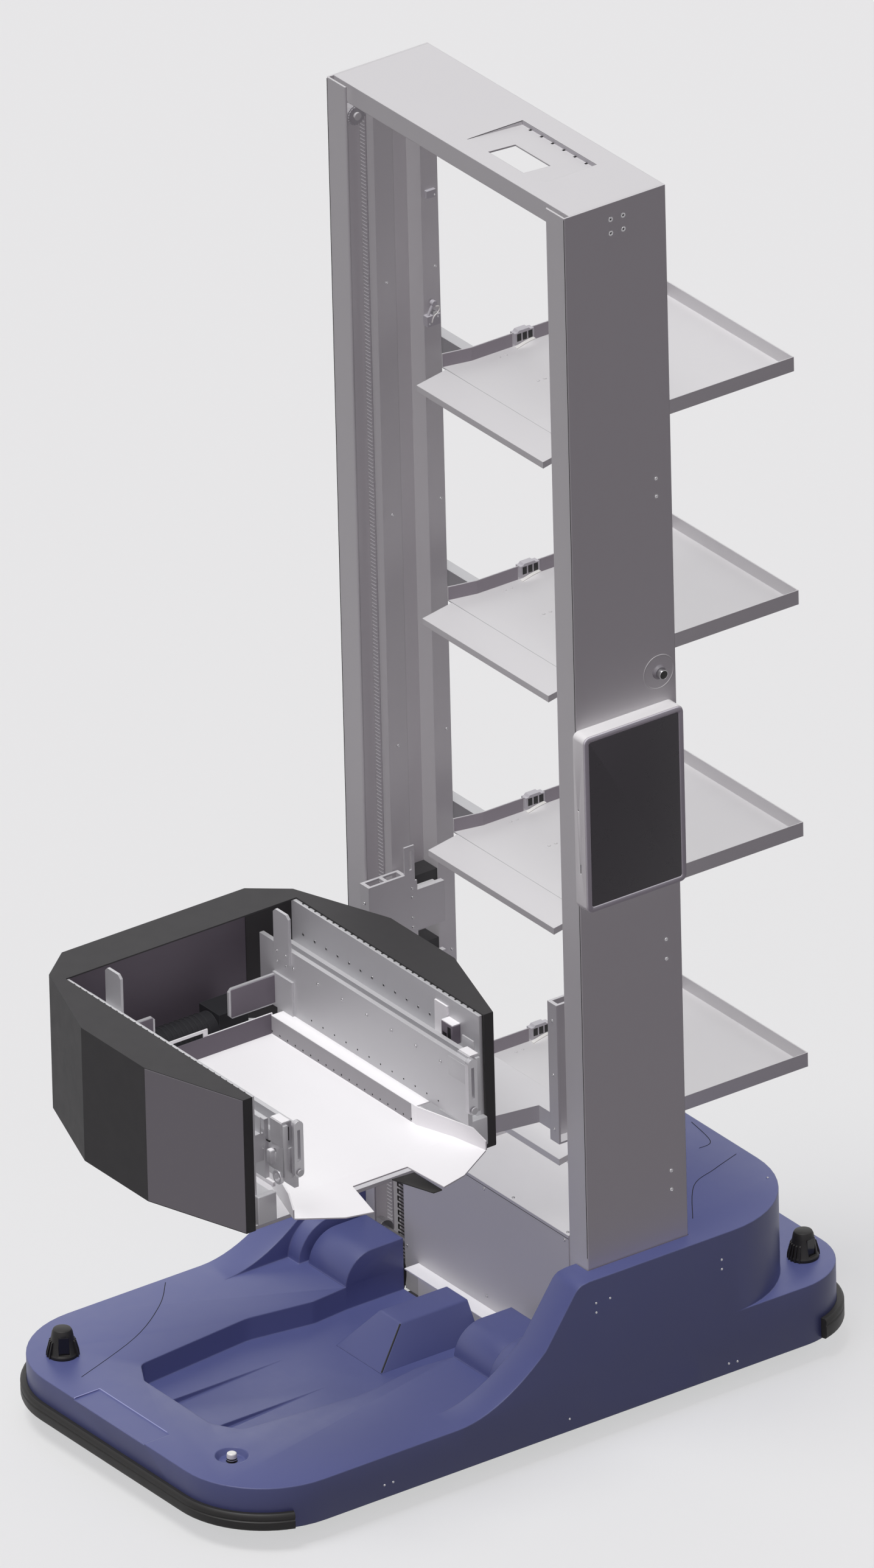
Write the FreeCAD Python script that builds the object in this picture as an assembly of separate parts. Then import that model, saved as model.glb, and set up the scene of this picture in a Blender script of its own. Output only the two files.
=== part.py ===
import FreeCAD, Part
import math
import os

# Mobile robot for storage boxes. Millimetres, +Z up, +X toward the storage trays,
# origin on the floor at the middle of the overall length and of the base's width.

# Base cover
base_length = 1506.0
base_width = 870.0
base_mid_x = -10.0
cover_bottom = 40.0
cover_wall = 4.0
deck_top = 131.0
recess_floor = 81.0
recess_front_margin = 151.0
recess_front_half = 172.0
recess_widest_half = 199.0
recess_widest_x = -302.0
recess_waist_x = -158.0
recess_waist = 8.0
recess_nose = (34.0, 60.0)
flute_x = (-570.0, -252.0)
flute_inner_y = 56.0
flute_width = 34.0
lamp_step_y = (-100.0, 140.0)
lamp_step_length = 63.0
lamp_step_depth = 3.0
housing_top = 354.0
rear_deck_top = 170.0
rear_deck_x = 400.0
front_corner_radius = 195.0
rear_corner_radius = 140.0
housing_corner_radius = 215.0
housing_rear_margin = 99.0
housing_front_x = 290.0
ramp_foot_x = -245.0
ramp_top_x = 60.0
ramp_knee = (215.0, 104.0)
ramp_sag = (122.0, 29.0)
side_wall_width = 78.0
deck_edge_round = 5.0
housing_edge_round = 6.0

# Wheel humps in front of the mast
hump_inner_y = 183.0
hump_outer_y = 309.0
hump_foot_x = -74.0
hump_top = 195.0
hump_to_mast = 37.0
arch_band_step = 16.0
arch_gap = 11.0

# Sensor hood on the recessed floor
hood_foot_half = 77.0
hood_top_half = 35.0
hood_top = 151.0
hood_foot_x = -175.0
hood_crown_x = -97.0
hood_wall = 3.0

# Chassis frame
plate_bottom = 46.0
plate_thickness = 6.0
plate_margin = 45.0
rail_width = 36.0
rail_height = 40.0
rail_wall = 3.0
post_half = 8.0
rail_margin = 63.0

# Drive wheels
wheel_radius = 88.0
wheel_width = 50.0
wheel_x = 15.0
wheel_y = 246.0
axle_radius = 10.0
wheel_clearance = 12.0
wheel_sides = 32
mount_foot_half = 46.0
mount_head_half = 26.0
mount_sheet = 8.0
mount_gap = 12.0
mount_rise = 28.0
collar_half = 18.0

# Casters
caster_end_margin = 203.0
caster_side_margin = 135.0
caster_radius = 37.5
caster_width = 26.0
caster_trail = 24.0
caster_plate_z = 104.0
caster_plate_size = 160.0
caster_stem_radius = 10.0
caster_pin_radius = 5.0
caster_cheek = 5.0
caster_crown_half = 30.0
caster_crown = 8.0

# Battery and control unit behind the mast
battery_gap = 10.0
battery_rear_gap = 68.0
battery_half = 190.0
battery_top = 250.0
battery_corner = 10.0
control_inset = 10.0
control_half = 150.0
control_height = 50.0
fin_count = 9
fin_pitch = 33.0
fin_thickness = 8.0
fin_height = 30.0

# Bumper strips
bumper_stand_off = 12.0
bumper_low = 42.0
bumper_height = 36.0
front_bumper_reach = 128.0
rear_bumper_reach = 104.0
rear_bumper_height = 44.0
rear_bumper_extra = 4.0

# Corner scanners and deck button
scanner_front_inset = (88.0, 135.0)
scanner_rear_inset = (71.0, 105.0)
scanner_base_radius = 34.0
scanner_top_radius = 18.0
scanner_crown = 7.0
scanner_height = 60.0
flute_count = 16
scanner_body_radius = 26.0
scanner_body_depth = 44.0
dish_inset = (108.0, 190.0)
dish_radius = 34.0
dish_floor_radius = 26.0
dish_depth = 12.0
deck_button_stem = 7.5
deck_button_height = 15.0
deck_button_cap = 21.0
deck_button_travel = 3.0
deck_button_corner = 5.0

# Mast columns
mast_front_x = 104.0
mast_depth = 242.0
portal_half = 395.0
mast_top = 2663.0
flange_width = 62.0
column_skin = 4.0
groove_depth_left = 14.0
groove_a_rear = 65.0
land_rear = 110.0
groove_b_rear = 175.0
rear_land_rear = 215.0
column_bend_radius = 3.0
bolt_hole_radius = 2.25
bolt_spacing = 30.0
bolt_setback = 126.0
bolt_drop = 50.0

# Top beam
beam_sheet = 3.0
beam_set_back = 15.0
beam_lip = 42.0
pocket_setback = 55.0
pocket_length = 134.0
pocket_near_y = -243.0
pocket_far_y = 3.0
pocket_depth = 9.0
beam_hole_setback = 56.0
beam_hole_length = 65.0
beam_hole_y = (-184.0, -67.0)

# Lift drive
pulley_radius = 20.0
pulley_width = 24.0
pulley_setback = 36.0
pulley_inset = 37.0
idler_drop = 78.0
drive_shaft_z = 122.0
shaft_radius = 8.0
belt_width = 20.0
belt_thickness = 2.4
belt_gap = 0.3

# Cabinet between the columns
cabinet_depth = 181.0
cabinet_top = 404.0
cabinet_far_y = 230.0
cabinet_wall = 3.0
cabinet_gap = 2.0
baffle_height = 71.0
baffle_far_y = 95.0
gusset_reach = 70.0
shaft_hole_gap = 4.0
vent_count = 6
vent_low = 160.0
vent_pitch = 24.0
vent_height = 8.0
vent_y = (-120.0, -20.0)
bearing_inset = (60.0, 40.0)
bearing_half = 22.0
bearing_width = 22.0

# Lift motor, cable chain and limit switches
lift_motor_gap = 2.0
lift_motor_y = (40.0, 130.0)
lift_motor_radius = 31.0
lift_motor_length = 165.0
lift_brake_length = 20.0
lift_brake_step = 5.0
gearbox_depth = 66.0
gearbox_height = 105.0
chain_setback = 46.0
chain_gap = 12.0
chain_depth = 32.0
chain_width = 44.0
chain_waist = 2.0
chain_rim = 6.0
chain_links = 10
switch_depth = 30.0
switch_setback = 8.0
roller_switch_drop = 573.0
roller_switch_height = 22.0
roller_switch_width = 14.0
roller_reach = 18.0
roller_rise = 23.0
roller_radius = 6.0
plain_switch_drop = 297.0
plain_switch_height = 16.0
plain_switch_width = 8.0

# Storage trays
tray_count = 4
tray_pitch = 512.7
first_floor_z = 514.0
tray_half = 211.0
tray_rear_x = 776.0
tray_front_setback = 139.0
tray_straight_setback = 200.0
tray_wall_height = 29.0
tray_sheet = 2.0
tray_flare = 13.0
tray_lip_setback = 67.0
tray_lip_drop = 12.0
sensor_setback = 60.0
sensor_length = 46.0
sensor_height = 25.0
sensor_rise = 3.0
sensor_inner = 5.0
sensor_outer = 11.0
gusset_depth_mast = 43.0
gusset_depth_rear = 30.0
gusset_taper = 90.0
crossbar_depth = 25.0
crossbar_height = 38.0
crossbar_wall = 2.5
crossbar_holes = 4
crossbar_end = 25.0
crossbar_slot = 40.0
crossbar_hole = 11.0

# Tablet and column button
tablet_overhang = 8.0
tablet_width = 241.0
tablet_low = 1160.0
tablet_height = 386.0
tablet_depth = 38.0
tablet_corner = 14.0
bezel_width = 12.0
glass_depth = 3.0
column_button_setback = 202.0
column_button_collar = 5.0
column_button_z = 1612.0
column_button_radius = 10.0
column_button_travel = 3.0
column_button_height = 14.0

# Fork and its turning axis
fork_x = -368.0
tray_floor_z = 710.0
shroud_low = 665.0
shroud_top = 960.0
shroud_sheet = 3.0
rim_half = 278.0
rim_closed_y = 294.0
mouth_y = -336.0
shroud_half_outline = [(220.0, 389.0), (294.0, 328.0), (373.0, 108.0), (373.0, -106.0), (300.0, mouth_y)]
fork_plate = 8.0
fork_post_half = 15.0
fork_post_x = 120.0
fork_post_y = 180.0
hub_bore = 20.0
fit_gap = 0.3
running_gap = 0.05

# Box tray of the fork
box_half = 177.0
box_sheet = 3.0
box_wall_top = 751.0
box_back_y = 246.0
box_flare_y = -241.0
ledge_half = 203.0
mouth_corner = (230.0, -400.0)
mouth_bend = (142.0, -450.0)
mouth_tip = (84.0, -463.0)
notch_half = 66.0
notch_y = -366.0
lip_fold_y = -330.0
lip_drop = 14.0
handle_x = (-72.0, 24.0)
handle_rise = 19.0

# Telescopic arms
arm_plate_sheet = 8.0
arm_foot_length = 84.0
arm_foot_reach = 40.0
arm_foot_drop = 18.0
arm_rear_y = 300.0
arm_front_y = -330.0
slide_rail_inner = 246.0
slide_rail_low = 806.0
slide_rail_height = 60.0
stage_sheet = 10.0
rail_groove_depth = 3.0
rail_groove_half = 4.0
pad_edge = 4.0
pad_inset = 20.0
inner_pad = 5.0
mid_set_back = 10.0
mid_inner = 231.0
mid_low = 762.0
mid_top = 892.0
inner_inner = 204.0
inner_low = 757.0
inner_top = 897.0
inner_rear_y = 318.0
inner_front_y = -380.0
stage_travel = 380.0
pusher_length = 115.0
pusher_low = 762.0
pusher_height = 66.0
pusher_sheet = 5.0
tab_width = 52.0
tab_y = 211.0
actuator_width = 24.0
actuator_length = 38.0
actuator_height = 53.0
tab_rise = 79.0
finger_width = 22.0
finger_thickness = 11.0
finger_length = 112.0
finger_pin_radius = 4.0
finger_axis_z = 795.0

# Motor that extends the arms
extend_motor_x = (-130.0, 90.0)
extend_motor_gap = 74.0
extend_motor_radius = 34.0
extend_axis = 52.0
extend_foot = 12.0
extend_gearbox = 60.0

# Lift carriage
channel_clearance = 3.0
channel_width = 30.0
channel_overhang = 16.0
channel_reach = 76.0
channel_plate_reach = 101.0
channel_tab = 61.0
channel_low = 612.0
channel_top = 919.0
channel_sheet = 4.0
cross_setback = 8.0
cross_clearance = 6.0
platform_low = 612.0
platform_top = 650.0
platform_half = 230.0
platform_margin = 20.0
platform_skin = 6.0
ring_outer = 130.0
ring_inner = 80.0
shoe_length = 110.0
shoe_gap = 0.4
turn_motor_radius = 42.0
turn_motor_length = 62.0
turn_lid_length = 12.0
turn_lid_step = 10.0
motor_hole_radius = 24.0

V = FreeCAD.Vector
X_AXIS = V(1, 0, 0)
Y_AXIS = V(0, 1, 0)
Z_AXIS = V(0, 0, 1)
plate_top = plate_bottom + plate_thickness
mast_rear_x = mast_front_x + mast_depth
flange_inner_y = portal_half - flange_width
base_front_x = base_mid_x - base_length / 2
base_rear_x = base_mid_x + base_length / 2
half_width = base_width / 2
recess_front_x = base_front_x + recess_front_margin
housing_rear_x = base_rear_x - housing_rear_margin
hump_rear_x = mast_front_x - hump_to_mast
caster_x = base_length / 2 - caster_end_margin
caster_y = half_width - caster_side_margin
rail_half_length = caster_x - caster_plate_size / 2
rail_y = half_width - rail_margin
scanner_front_xy = (base_front_x + scanner_front_inset[0], half_width - scanner_front_inset[1])
scanner_rear_xy = (base_rear_x - scanner_rear_inset[0], scanner_rear_inset[1] - half_width)
dish_xy = (base_front_x + dish_inset[0], dish_inset[1] - half_width)
bolt_centre_x = mast_front_x + bolt_setback
bolt_centre_z = mast_top - bolt_drop
pulley_x = mast_front_x + pulley_setback
pulley_y = portal_half - pulley_inset
idler_z = mast_top - idler_drop
pocket_front_x = mast_front_x + pocket_setback
pocket_rear_x = pocket_front_x + pocket_length
beam_hole_x = mast_front_x + beam_hole_setback
tray_floor_front_x = mast_front_x + tray_front_setback
tray_straight_x = mast_front_x + tray_straight_setback
tray_lip_x = mast_front_x + tray_lip_setback
sensor_x = mast_rear_x + sensor_setback
tablet_front_x = mast_front_x - tablet_overhang
column_button_x = mast_front_x + column_button_setback
channel_outer_y = flange_inner_y - channel_clearance
channel_inner_y = channel_outer_y - channel_width
channel_front_x = mast_front_x - channel_overhang
channel_rear_x = mast_front_x + channel_reach
channel_plate_x = mast_front_x + channel_plate_reach
cross_front_x = mast_front_x + cross_setback
arm_plate_outer = rim_half - fit_gap
arm_plate_inner = arm_plate_outer - arm_plate_sheet
arm_plate_top = shroud_top - shroud_sheet - fit_gap
arm_plate_low = shroud_low + fork_plate
tab_top = inner_top + tab_rise
SIDES = {"far": 1, "near": -1}


# Shape helpers

def box(x0, x1, y0, y1, z0, z1):
    """Block between two corners given in any order."""
    low = V(min(x0, x1), min(y0, y1), min(z0, z1))
    return Part.makeBox(abs(x1 - x0), abs(y1 - y0), abs(z1 - z0), low)


def rod(start, end, radius):
    """Round bar from one point to another."""
    run = V(*end) - V(*start)
    return Part.makeCylinder(radius, run.Length, V(*start), run)


def fuse(shapes):
    """Join touching solids into one without seam edges."""
    whole = shapes[0]
    if len(shapes) > 1:
        whole = shapes[0].multiFuse(shapes[1:])
    return whole.removeSplitter()


def cut(shape, tools):
    """Take every tool away from the shape."""
    return shape.cut(tools)


def extrude(points, direction, length):
    """Prism over a closed outline of 3-D points."""
    wire = Part.makePolygon([V(*p) for p in points] + [V(*points[0])])
    return Part.Face(wire).extrude(direction * length)


def plan_prism(points, z0, z1):
    """Prism over an outline in plan."""
    return extrude([(x, y, z0) for x, y in points], Z_AXIS, z1 - z0)


def side_prism(points, y0, y1):
    """Prism over an outline given in x and z."""
    return extrude([(x, y0, z) for x, z in points], Y_AXIS, y1 - y0)


def end_prism(points, x0, x1):
    """Prism over an outline given in y and z."""
    return extrude([(x0, y, z) for y, z in points], X_AXIS, x1 - x0)


def many_sided(x, y, z, radius, sides=flute_count):
    """Level outline of a fluted round, with its flats at the given radius."""
    corner = radius / math.cos(math.pi / sides)
    points = []
    for index in range(sides):
        angle = 2 * math.pi * (index + 0.5) / sides
        points.append(V(x + corner * math.cos(angle), y + corner * math.sin(angle), z))
    return points


def fluted_rod(x, y, z0, z1, radius, sides=flute_count):
    """Upright many-sided bar."""
    return taper(many_sided(x, y, z0, radius, sides), many_sided(x, y, z1, radius, sides))


def taper(low, high):
    """Flat-sided solid between two level outlines with as many corners each."""
    faces = [Part.Face(Part.makePolygon(low + low[:1])), Part.Face(Part.makePolygon(high + high[:1]))]
    for index in range(len(low)):
        after = (index + 1) % len(low)
        corners = [low[index], low[after], high[after], high[index], low[index]]
        faces.append(Part.Face(Part.makePolygon(corners)))
    solid = Part.Solid(Part.Shell(faces))
    if solid.Volume < 0:
        solid.reverse()
    return solid


def mirrored(shape):
    """The same piece on the other side of the centre plane."""
    return shape.mirror(V(0, 0, 0), Y_AXIS)


def for_side(shape, side):
    """A piece drawn on the far side, moved to the side asked for."""
    if side > 0:
        return shape
    return mirrored(shape)


def rounded_plan(x0, x1, half, front_radius, rear_radius, z0, z1):
    """Plan with large round corners, the front and rear radii apart."""
    body = box(x0, x1, -half, half, z0, z1)
    for end_x, radius in ((x0, front_radius), (x1, rear_radius)):
        if radius > 0:
            body = body.makeFillet(radius, upright_edges(body, end_x))
    return body


def upright_edges(body, end_x):
    """Upright edges of a body that stand at one end of it."""
    edges = []
    for edge in body.Edges:
        first, last = edge.Vertexes[0], edge.Vertexes[-1]
        if abs(first.Z - last.Z) > 1 and abs(first.X - end_x) < 1 and abs(last.X - end_x) < 1:
            edges.append(edge)
    return edges


def round_top(shape, radius, z):
    """Ease the rim of the top face at height z."""
    rim = []
    for edge in shape.Edges:
        if all(abs(v.Z - z) < 0.01 for v in edge.Vertexes):
            rim.append(edge)
    return shape.makeChamfer(radius, rim)


def save(name, shape):
    """Write one piece to its own file."""
    shape.exportStep(os.path.join("parts", name + ".step"))


# Base cover: one moulded shell with recess, humps, ramps and raised housing

def cover_form(inset):
    """Outer form of the cover, or the form of its hollow for a wall of the given inset."""
    round_deck = deck_edge_round if inset == 0 else 0
    round_house = housing_edge_round if inset == 0 else 0
    low = cover_bottom if inset == 0 else cover_bottom - 1
    half = half_width - inset
    deck = rounded_plan(base_front_x + inset, base_rear_x - inset, half,
                        front_corner_radius - inset, rear_corner_radius - inset, low, deck_top - inset)
    rear = rounded_plan(rear_deck_x, base_rear_x - inset, half, 0, rear_corner_radius - inset,
                        low, rear_deck_top - inset)
    house = rounded_plan(housing_front_x + inset, housing_rear_x - inset, half, 0,
                         housing_corner_radius - inset, low, housing_top - inset)
    if round_deck:
        deck = round_top(deck, round_deck, deck_top)
        rear = round_top(rear, round_deck, rear_deck_top)
        house = round_top(house, round_house, housing_top)
    parts = [deck, rear, house]
    for side in SIDES.values():
        parts.append(for_side(ramp_form(inset), side))
        parts.append(for_side(hump_form(inset), side))
    form = fuse(parts)
    return cut(form, [recess_form(inset)])


def ramp_form(inset):
    """Side wall that sweeps up from the deck to the housing."""
    top = housing_top - inset
    foot = ramp_foot_x + inset
    crown = ramp_top_x + inset
    low = cover_bottom if inset == 0 else cover_bottom - 1
    knee = V(foot + ramp_knee[0], 0, deck_top + ramp_knee[1] - inset)
    sag = V(foot + ramp_sag[0], 0, deck_top + ramp_sag[1] - inset)
    sweep = Part.Arc(V(foot, 0, deck_top - inset), sag, knee).toShape()
    shoulder = V(crown - 16, 0, top - 14)
    crest = Part.Arc(shoulder, V(crown - 2, 0, top - 4), V(crown + 18, 0, top)).toShape()
    rear_end = housing_front_x + 60
    wire = Part.Wire([
        sweep,
        Part.makeLine(knee, shoulder),
        crest,
        Part.makeLine(V(crown + 18, 0, top), V(rear_end, 0, top)),
        Part.makeLine(V(rear_end, 0, top), V(rear_end, 0, low)),
        Part.makeLine(V(rear_end, 0, low), V(foot, 0, low)),
        Part.makeLine(V(foot, 0, low), V(foot, 0, deck_top - inset)),
    ])
    inner_y = half_width - side_wall_width + inset
    body = Part.Face(wire).extrude(V(0, side_wall_width - 2 * inset, 0))
    body.translate(V(0, inner_y, 0))
    return body


def hump_form(inset):
    """Wheel hump with a round front, a shallow groove and an outer arch band."""
    low = cover_bottom if inset == 0 else cover_bottom - 1
    inner = quarter_round(hump_foot_x + inset, hump_top - inset, low,
                          hump_inner_y + inset, hump_outer_y - inset)
    if inset > 0:
        return inner
    band = quarter_round(hump_foot_x - arch_band_step + inset, hump_top + arch_band_step - inset, low,
                         hump_outer_y + arch_gap + inset, half_width - side_wall_width + 8)
    groove = quarter_round(hump_foot_x + arch_band_step + inset, hump_top - arch_band_step - inset, low,
                           hump_outer_y - 20, hump_outer_y + arch_gap + 20)
    return fuse([inner, band, groove])


def quarter_round(foot_x, top_z, low, y0, y1):
    """Block with a quarter-round front edge that starts at the deck."""
    rise = top_z - deck_top + cover_wall
    start = V(foot_x, y0, top_z - rise)
    mid = V(foot_x + rise * (1 - math.cos(math.pi / 4)), y0, top_z - rise * (1 - math.sin(math.pi / 4)))
    crown = V(foot_x + rise, y0, top_z)
    rear = hump_rear_x
    wire = Part.Wire([
        Part.Arc(start, mid, crown).toShape(),
        Part.makeLine(crown, V(rear, y0, top_z)),
        Part.makeLine(V(rear, y0, top_z), V(rear, y0, low)),
        Part.makeLine(V(rear, y0, low), V(foot_x, y0, low)),
        Part.makeLine(V(foot_x, y0, low), start),
    ])
    return Part.Face(wire).extrude(V(0, y1 - y0, 0))


def recess_form(inset):
    """Recessed floor between the side decks, a little wider at mid length."""
    floor = recess_floor - inset
    half_front = recess_front_half + inset
    half_back = hump_inner_y + inset
    front = recess_front_x - inset
    outline = [(front + recess_nose[0], half_front), (recess_widest_x, recess_widest_half + inset),
               (recess_waist_x, half_back - recess_waist), (hump_foot_x, half_back), (mast_front_x, half_back)]
    near = [(x, -y) for x, y in reversed(outline)]
    nose = [(front, recess_nose[1] - half_front), (front, half_front - recess_nose[1])]
    body = plan_prism(outline + near + nose, floor, hump_top + 40)
    slots = []
    if inset == 0:
        for side in SIDES.values():
            slots.append(for_side(flute(), side))
    return fuse([body] + slots)


def flute():
    """Long wedge-shaped flute in the recessed floor, deep at the front and running out to nothing."""
    depth = cover_wall * 0.6
    x0, x1 = flute_x
    points = [(x0, flute_inner_y, recess_floor + 1), (x0, flute_inner_y, recess_floor - depth),
              (x1, flute_inner_y, recess_floor + 1)]
    return extrude(points, Y_AXIS, flute_width)


def base_cover():
    """Cover shell with the openings that the mast, cabinet, scanners and button pass through."""
    shell = cut(cover_form(0), [cover_form(cover_wall)])
    gap = cabinet_gap
    tools = [box(hump_rear_x, housing_front_x + 0.5, -hump_well_half(), hump_well_half(), 0, housing_top + 5)]
    for side in SIDES.values():
        tools.append(for_side(box(mast_front_x - gap, mast_rear_x + gap,
                                  flange_inner_y - gap, portal_half + gap, 0, housing_top + 5), side))
    for x, y in (scanner_front_xy, scanner_rear_xy):
        tools.append(fluted_rod(x, y, recess_floor, housing_top, scanner_body_radius + fit_gap))
    x, y = dish_xy
    dish_low = deck_top - dish_depth
    dish = taper(many_sided(x, y, dish_low, dish_floor_radius), many_sided(x, y, deck_top + 1, dish_radius))
    cup = taper(many_sided(x, y, dish_low - cover_wall, dish_floor_radius + cover_wall),
                many_sided(x, y, deck_top - cover_wall, dish_radius + cover_wall))
    shell = fuse([shell, cup])
    tools.append(dish)
    reach = deck_button_stem + fit_gap
    tools.append(box(x - reach, x + reach, y - reach, y + reach, cover_bottom, deck_top))
    step_rear = base_front_x + lamp_step_length
    step = [(base_front_x - 5, deck_top + 1), (base_front_x - 5, deck_top - lamp_step_depth),
            (step_rear - lamp_step_depth, deck_top - lamp_step_depth + 1), (step_rear, deck_top + 1)]
    tools.append(side_prism(step, lamp_step_y[0], lamp_step_y[1]))
    return cut(shell, tools)


def hump_well_half():
    """Half width of the cover's opening for the cabinet, chain and sill."""
    return half_width - side_wall_width - 0.01


# Pieces of the base

def sensor_hood():
    """Tapered hood with a slanted front, hollow below."""
    def frustum(inset):
        foot = [(hood_foot_x + inset, -hood_foot_half + inset), (hump_rear_x - inset, -hood_foot_half + inset),
                (hump_rear_x - inset, hood_foot_half - inset), (hood_foot_x + inset, hood_foot_half - inset)]
        crown = [(hood_crown_x + inset, -hood_top_half + inset), (hump_rear_x - inset, -hood_top_half + inset),
                 (hump_rear_x - inset, hood_top_half - inset), (hood_crown_x + inset, hood_top_half - inset)]
        return taper([V(x, y, recess_floor) for x, y in foot], [V(x, y, hood_top - inset) for x, y in crown])
    return cut(frustum(0), [frustum(hood_wall)])


def sill_plate():
    """Folded sill that closes the gap between the cover and the cabinet."""
    top = deck_top - 4.0
    half = hump_inner_y
    front = hump_rear_x + cabinet_gap
    rear = mast_front_x - fit_gap
    plate = box(front, rear, -half, half, top - 3, top)
    leg = box(rear - 3, rear, -half, half, plate_top, top)
    return fuse([plate, leg])


def bumper(front, reach, low, height, extra):
    """Strip that wraps one end of the base and stops along the sides."""
    outer = rounded_plan(base_front_x - bumper_stand_off - extra, base_rear_x + bumper_stand_off + extra,
                         half_width + bumper_stand_off, front_corner_radius + bumper_stand_off,
                         rear_corner_radius + bumper_stand_off, low, low + height)
    inner = rounded_plan(base_front_x - fit_gap, base_rear_x + fit_gap, half_width + fit_gap,
                         front_corner_radius, rear_corner_radius, low - 1, low + height + 1)
    strip = outer.cut(inner)
    if front:
        keep = box(base_front_x - 50, base_front_x + reach, -half_width - 50, half_width + 50, 0, deck_top)
    else:
        keep = box(base_rear_x - reach, base_rear_x + 50, -half_width - 50, half_width + 50, 0, deck_top)
    return strip.common(keep)


def scanner(xy, deck):
    """Corner scanner: fluted, tapered head over a short body below the deck."""
    x, y = xy
    low = deck + fit_gap
    shoulder = deck + scanner_height - scanner_crown
    rings = [many_sided(x, y, low, scanner_base_radius), many_sided(x, y, shoulder, scanner_top_radius + scanner_crown),
             many_sided(x, y, deck + scanner_height, scanner_top_radius)]
    body = fluted_rod(x, y, deck - scanner_body_depth, low + fit_gap, scanner_body_radius)
    return fuse([taper(rings[0], rings[1]), taper(rings[1], rings[2]), body])


def frame_plan(z0, z1):
    """Bottom plate outline, inside the cover wall."""
    return rounded_plan(base_front_x + plate_margin, base_rear_x - plate_margin, half_width - plate_margin / 2,
                        front_corner_radius - plate_margin, rear_corner_radius - plate_margin, z0, z1)


def caster_places():
    """Name and centre of each caster."""
    places = []
    for along, x in (("front", base_mid_x - caster_x), ("rear", base_mid_x + caster_x)):
        for name, side in SIDES.items():
            places.append((along + "_" + name, x, side * caster_y))
    return places


def chassis_frame():
    """Welded frame: bottom plate with wheel wells, side rails and raised caster bridges."""
    plate = frame_plan(plate_bottom, plate_top)
    solids = [plate]
    holes = []
    swivel = caster_trail + caster_radius + 8
    half = caster_plate_size / 2
    for side in SIDES.values():
        y = side * rail_y
        rail = box(-rail_half_length, rail_half_length, y - rail_width / 2, y + rail_width / 2,
                   plate_top, plate_top + rail_height)
        bore = box(-rail_half_length - 1, rail_half_length + 1, y - rail_width / 2 + rail_wall,
                   y + rail_width / 2 - rail_wall, plate_top + rail_wall, plate_top + rail_height - rail_wall)
        foot_gap = box(mast_front_x - cabinet_gap, mast_rear_x + cabinet_gap, side * (flange_inner_y - 5),
                       side * (portal_half + 5), plate_top, mast_top)
        solids.append(rail.cut([bore, foot_gap]))
        reach = wheel_radius + wheel_clearance
        holes.append(box(wheel_x - reach, wheel_x + reach, side * (wheel_y - wheel_width / 2 - 6),
                         side * (wheel_y + wheel_width / 2 + wheel_clearance), 0, plate_top))
    for name, x, y in caster_places():
        holes.append(box(x - swivel, x + swivel, y - swivel, y + swivel, 0, plate_top))
        bridge = box(x - half, x + half, y - half + 4, y + half - 4, caster_plate_z, caster_plate_z + plate_thickness)
        solids.append(bridge)
        for end in (-1, 1):
            leg = box(x + end * (half - plate_thickness), x + end * half, y - half + 4, y + half - 4,
                      plate_top - 1, caster_plate_z + 1)
            solids.append(leg)
        holes.append(rod((x, y, caster_plate_z - 5), (x, y, caster_plate_z + 20), caster_stem_radius + running_gap))
    for (x, y), deck in ((scanner_front_xy, deck_top), (scanner_rear_xy, rear_deck_top)):
        solids.append(box(x - post_half, x + post_half, y - post_half, y + post_half, plate_top - 1,
                          deck - scanner_body_depth - fit_gap))
    x, y = dish_xy
    solids.append(box(x - post_half, x + post_half, y - post_half, y + post_half, plate_top - 1, button_seat_z()))
    return cut(fuse(solids), holes)


def button_seat_z():
    """Height of the post that the pressed deck button meets."""
    return deck_top - dish_depth - cover_wall - deck_button_travel - 2


def deck_button():
    """Short cap on a stem in the dished recess."""
    x, y = dish_xy
    low = button_seat_z() + deck_button_travel + fit_gap
    cap_low = deck_top - dish_depth + deck_button_travel + 2 * fit_gap
    half = deck_button_cap / 2
    reach = deck_button_stem
    stem = box(x - reach, x + reach, y - reach, y + reach, low, cap_low + 1)
    cap = box(x - half, x + half, y - half, y + half, cap_low, cap_low + deck_button_height)
    upright = [e for e in cap.Edges if abs(e.Vertexes[0].Z - e.Vertexes[-1].Z) > 1]
    return fuse([stem, cap.makeChamfer(deck_button_corner, upright)])


def drive_wheel(side):
    """Wheel with its tread, bored for the stub axle."""
    return bored_wheel(wheel_x, side * wheel_y, wheel_radius, wheel_width, axle_radius + running_gap)


def bored_wheel(x, y, radius, width, bore):
    """Wheel that stands on the floor, its tread cut in flats, with a round bore."""
    half = width / 2
    body = fluted_rod(0, 0, -half, half, radius, wheel_sides)
    body.rotate(V(0, 0, 0), X_AXIS, 90)
    body.translate(V(x, y, radius))
    return body.cut(rod((x, y - half - 1, radius), (x, y + half + 1, radius), bore))


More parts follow.
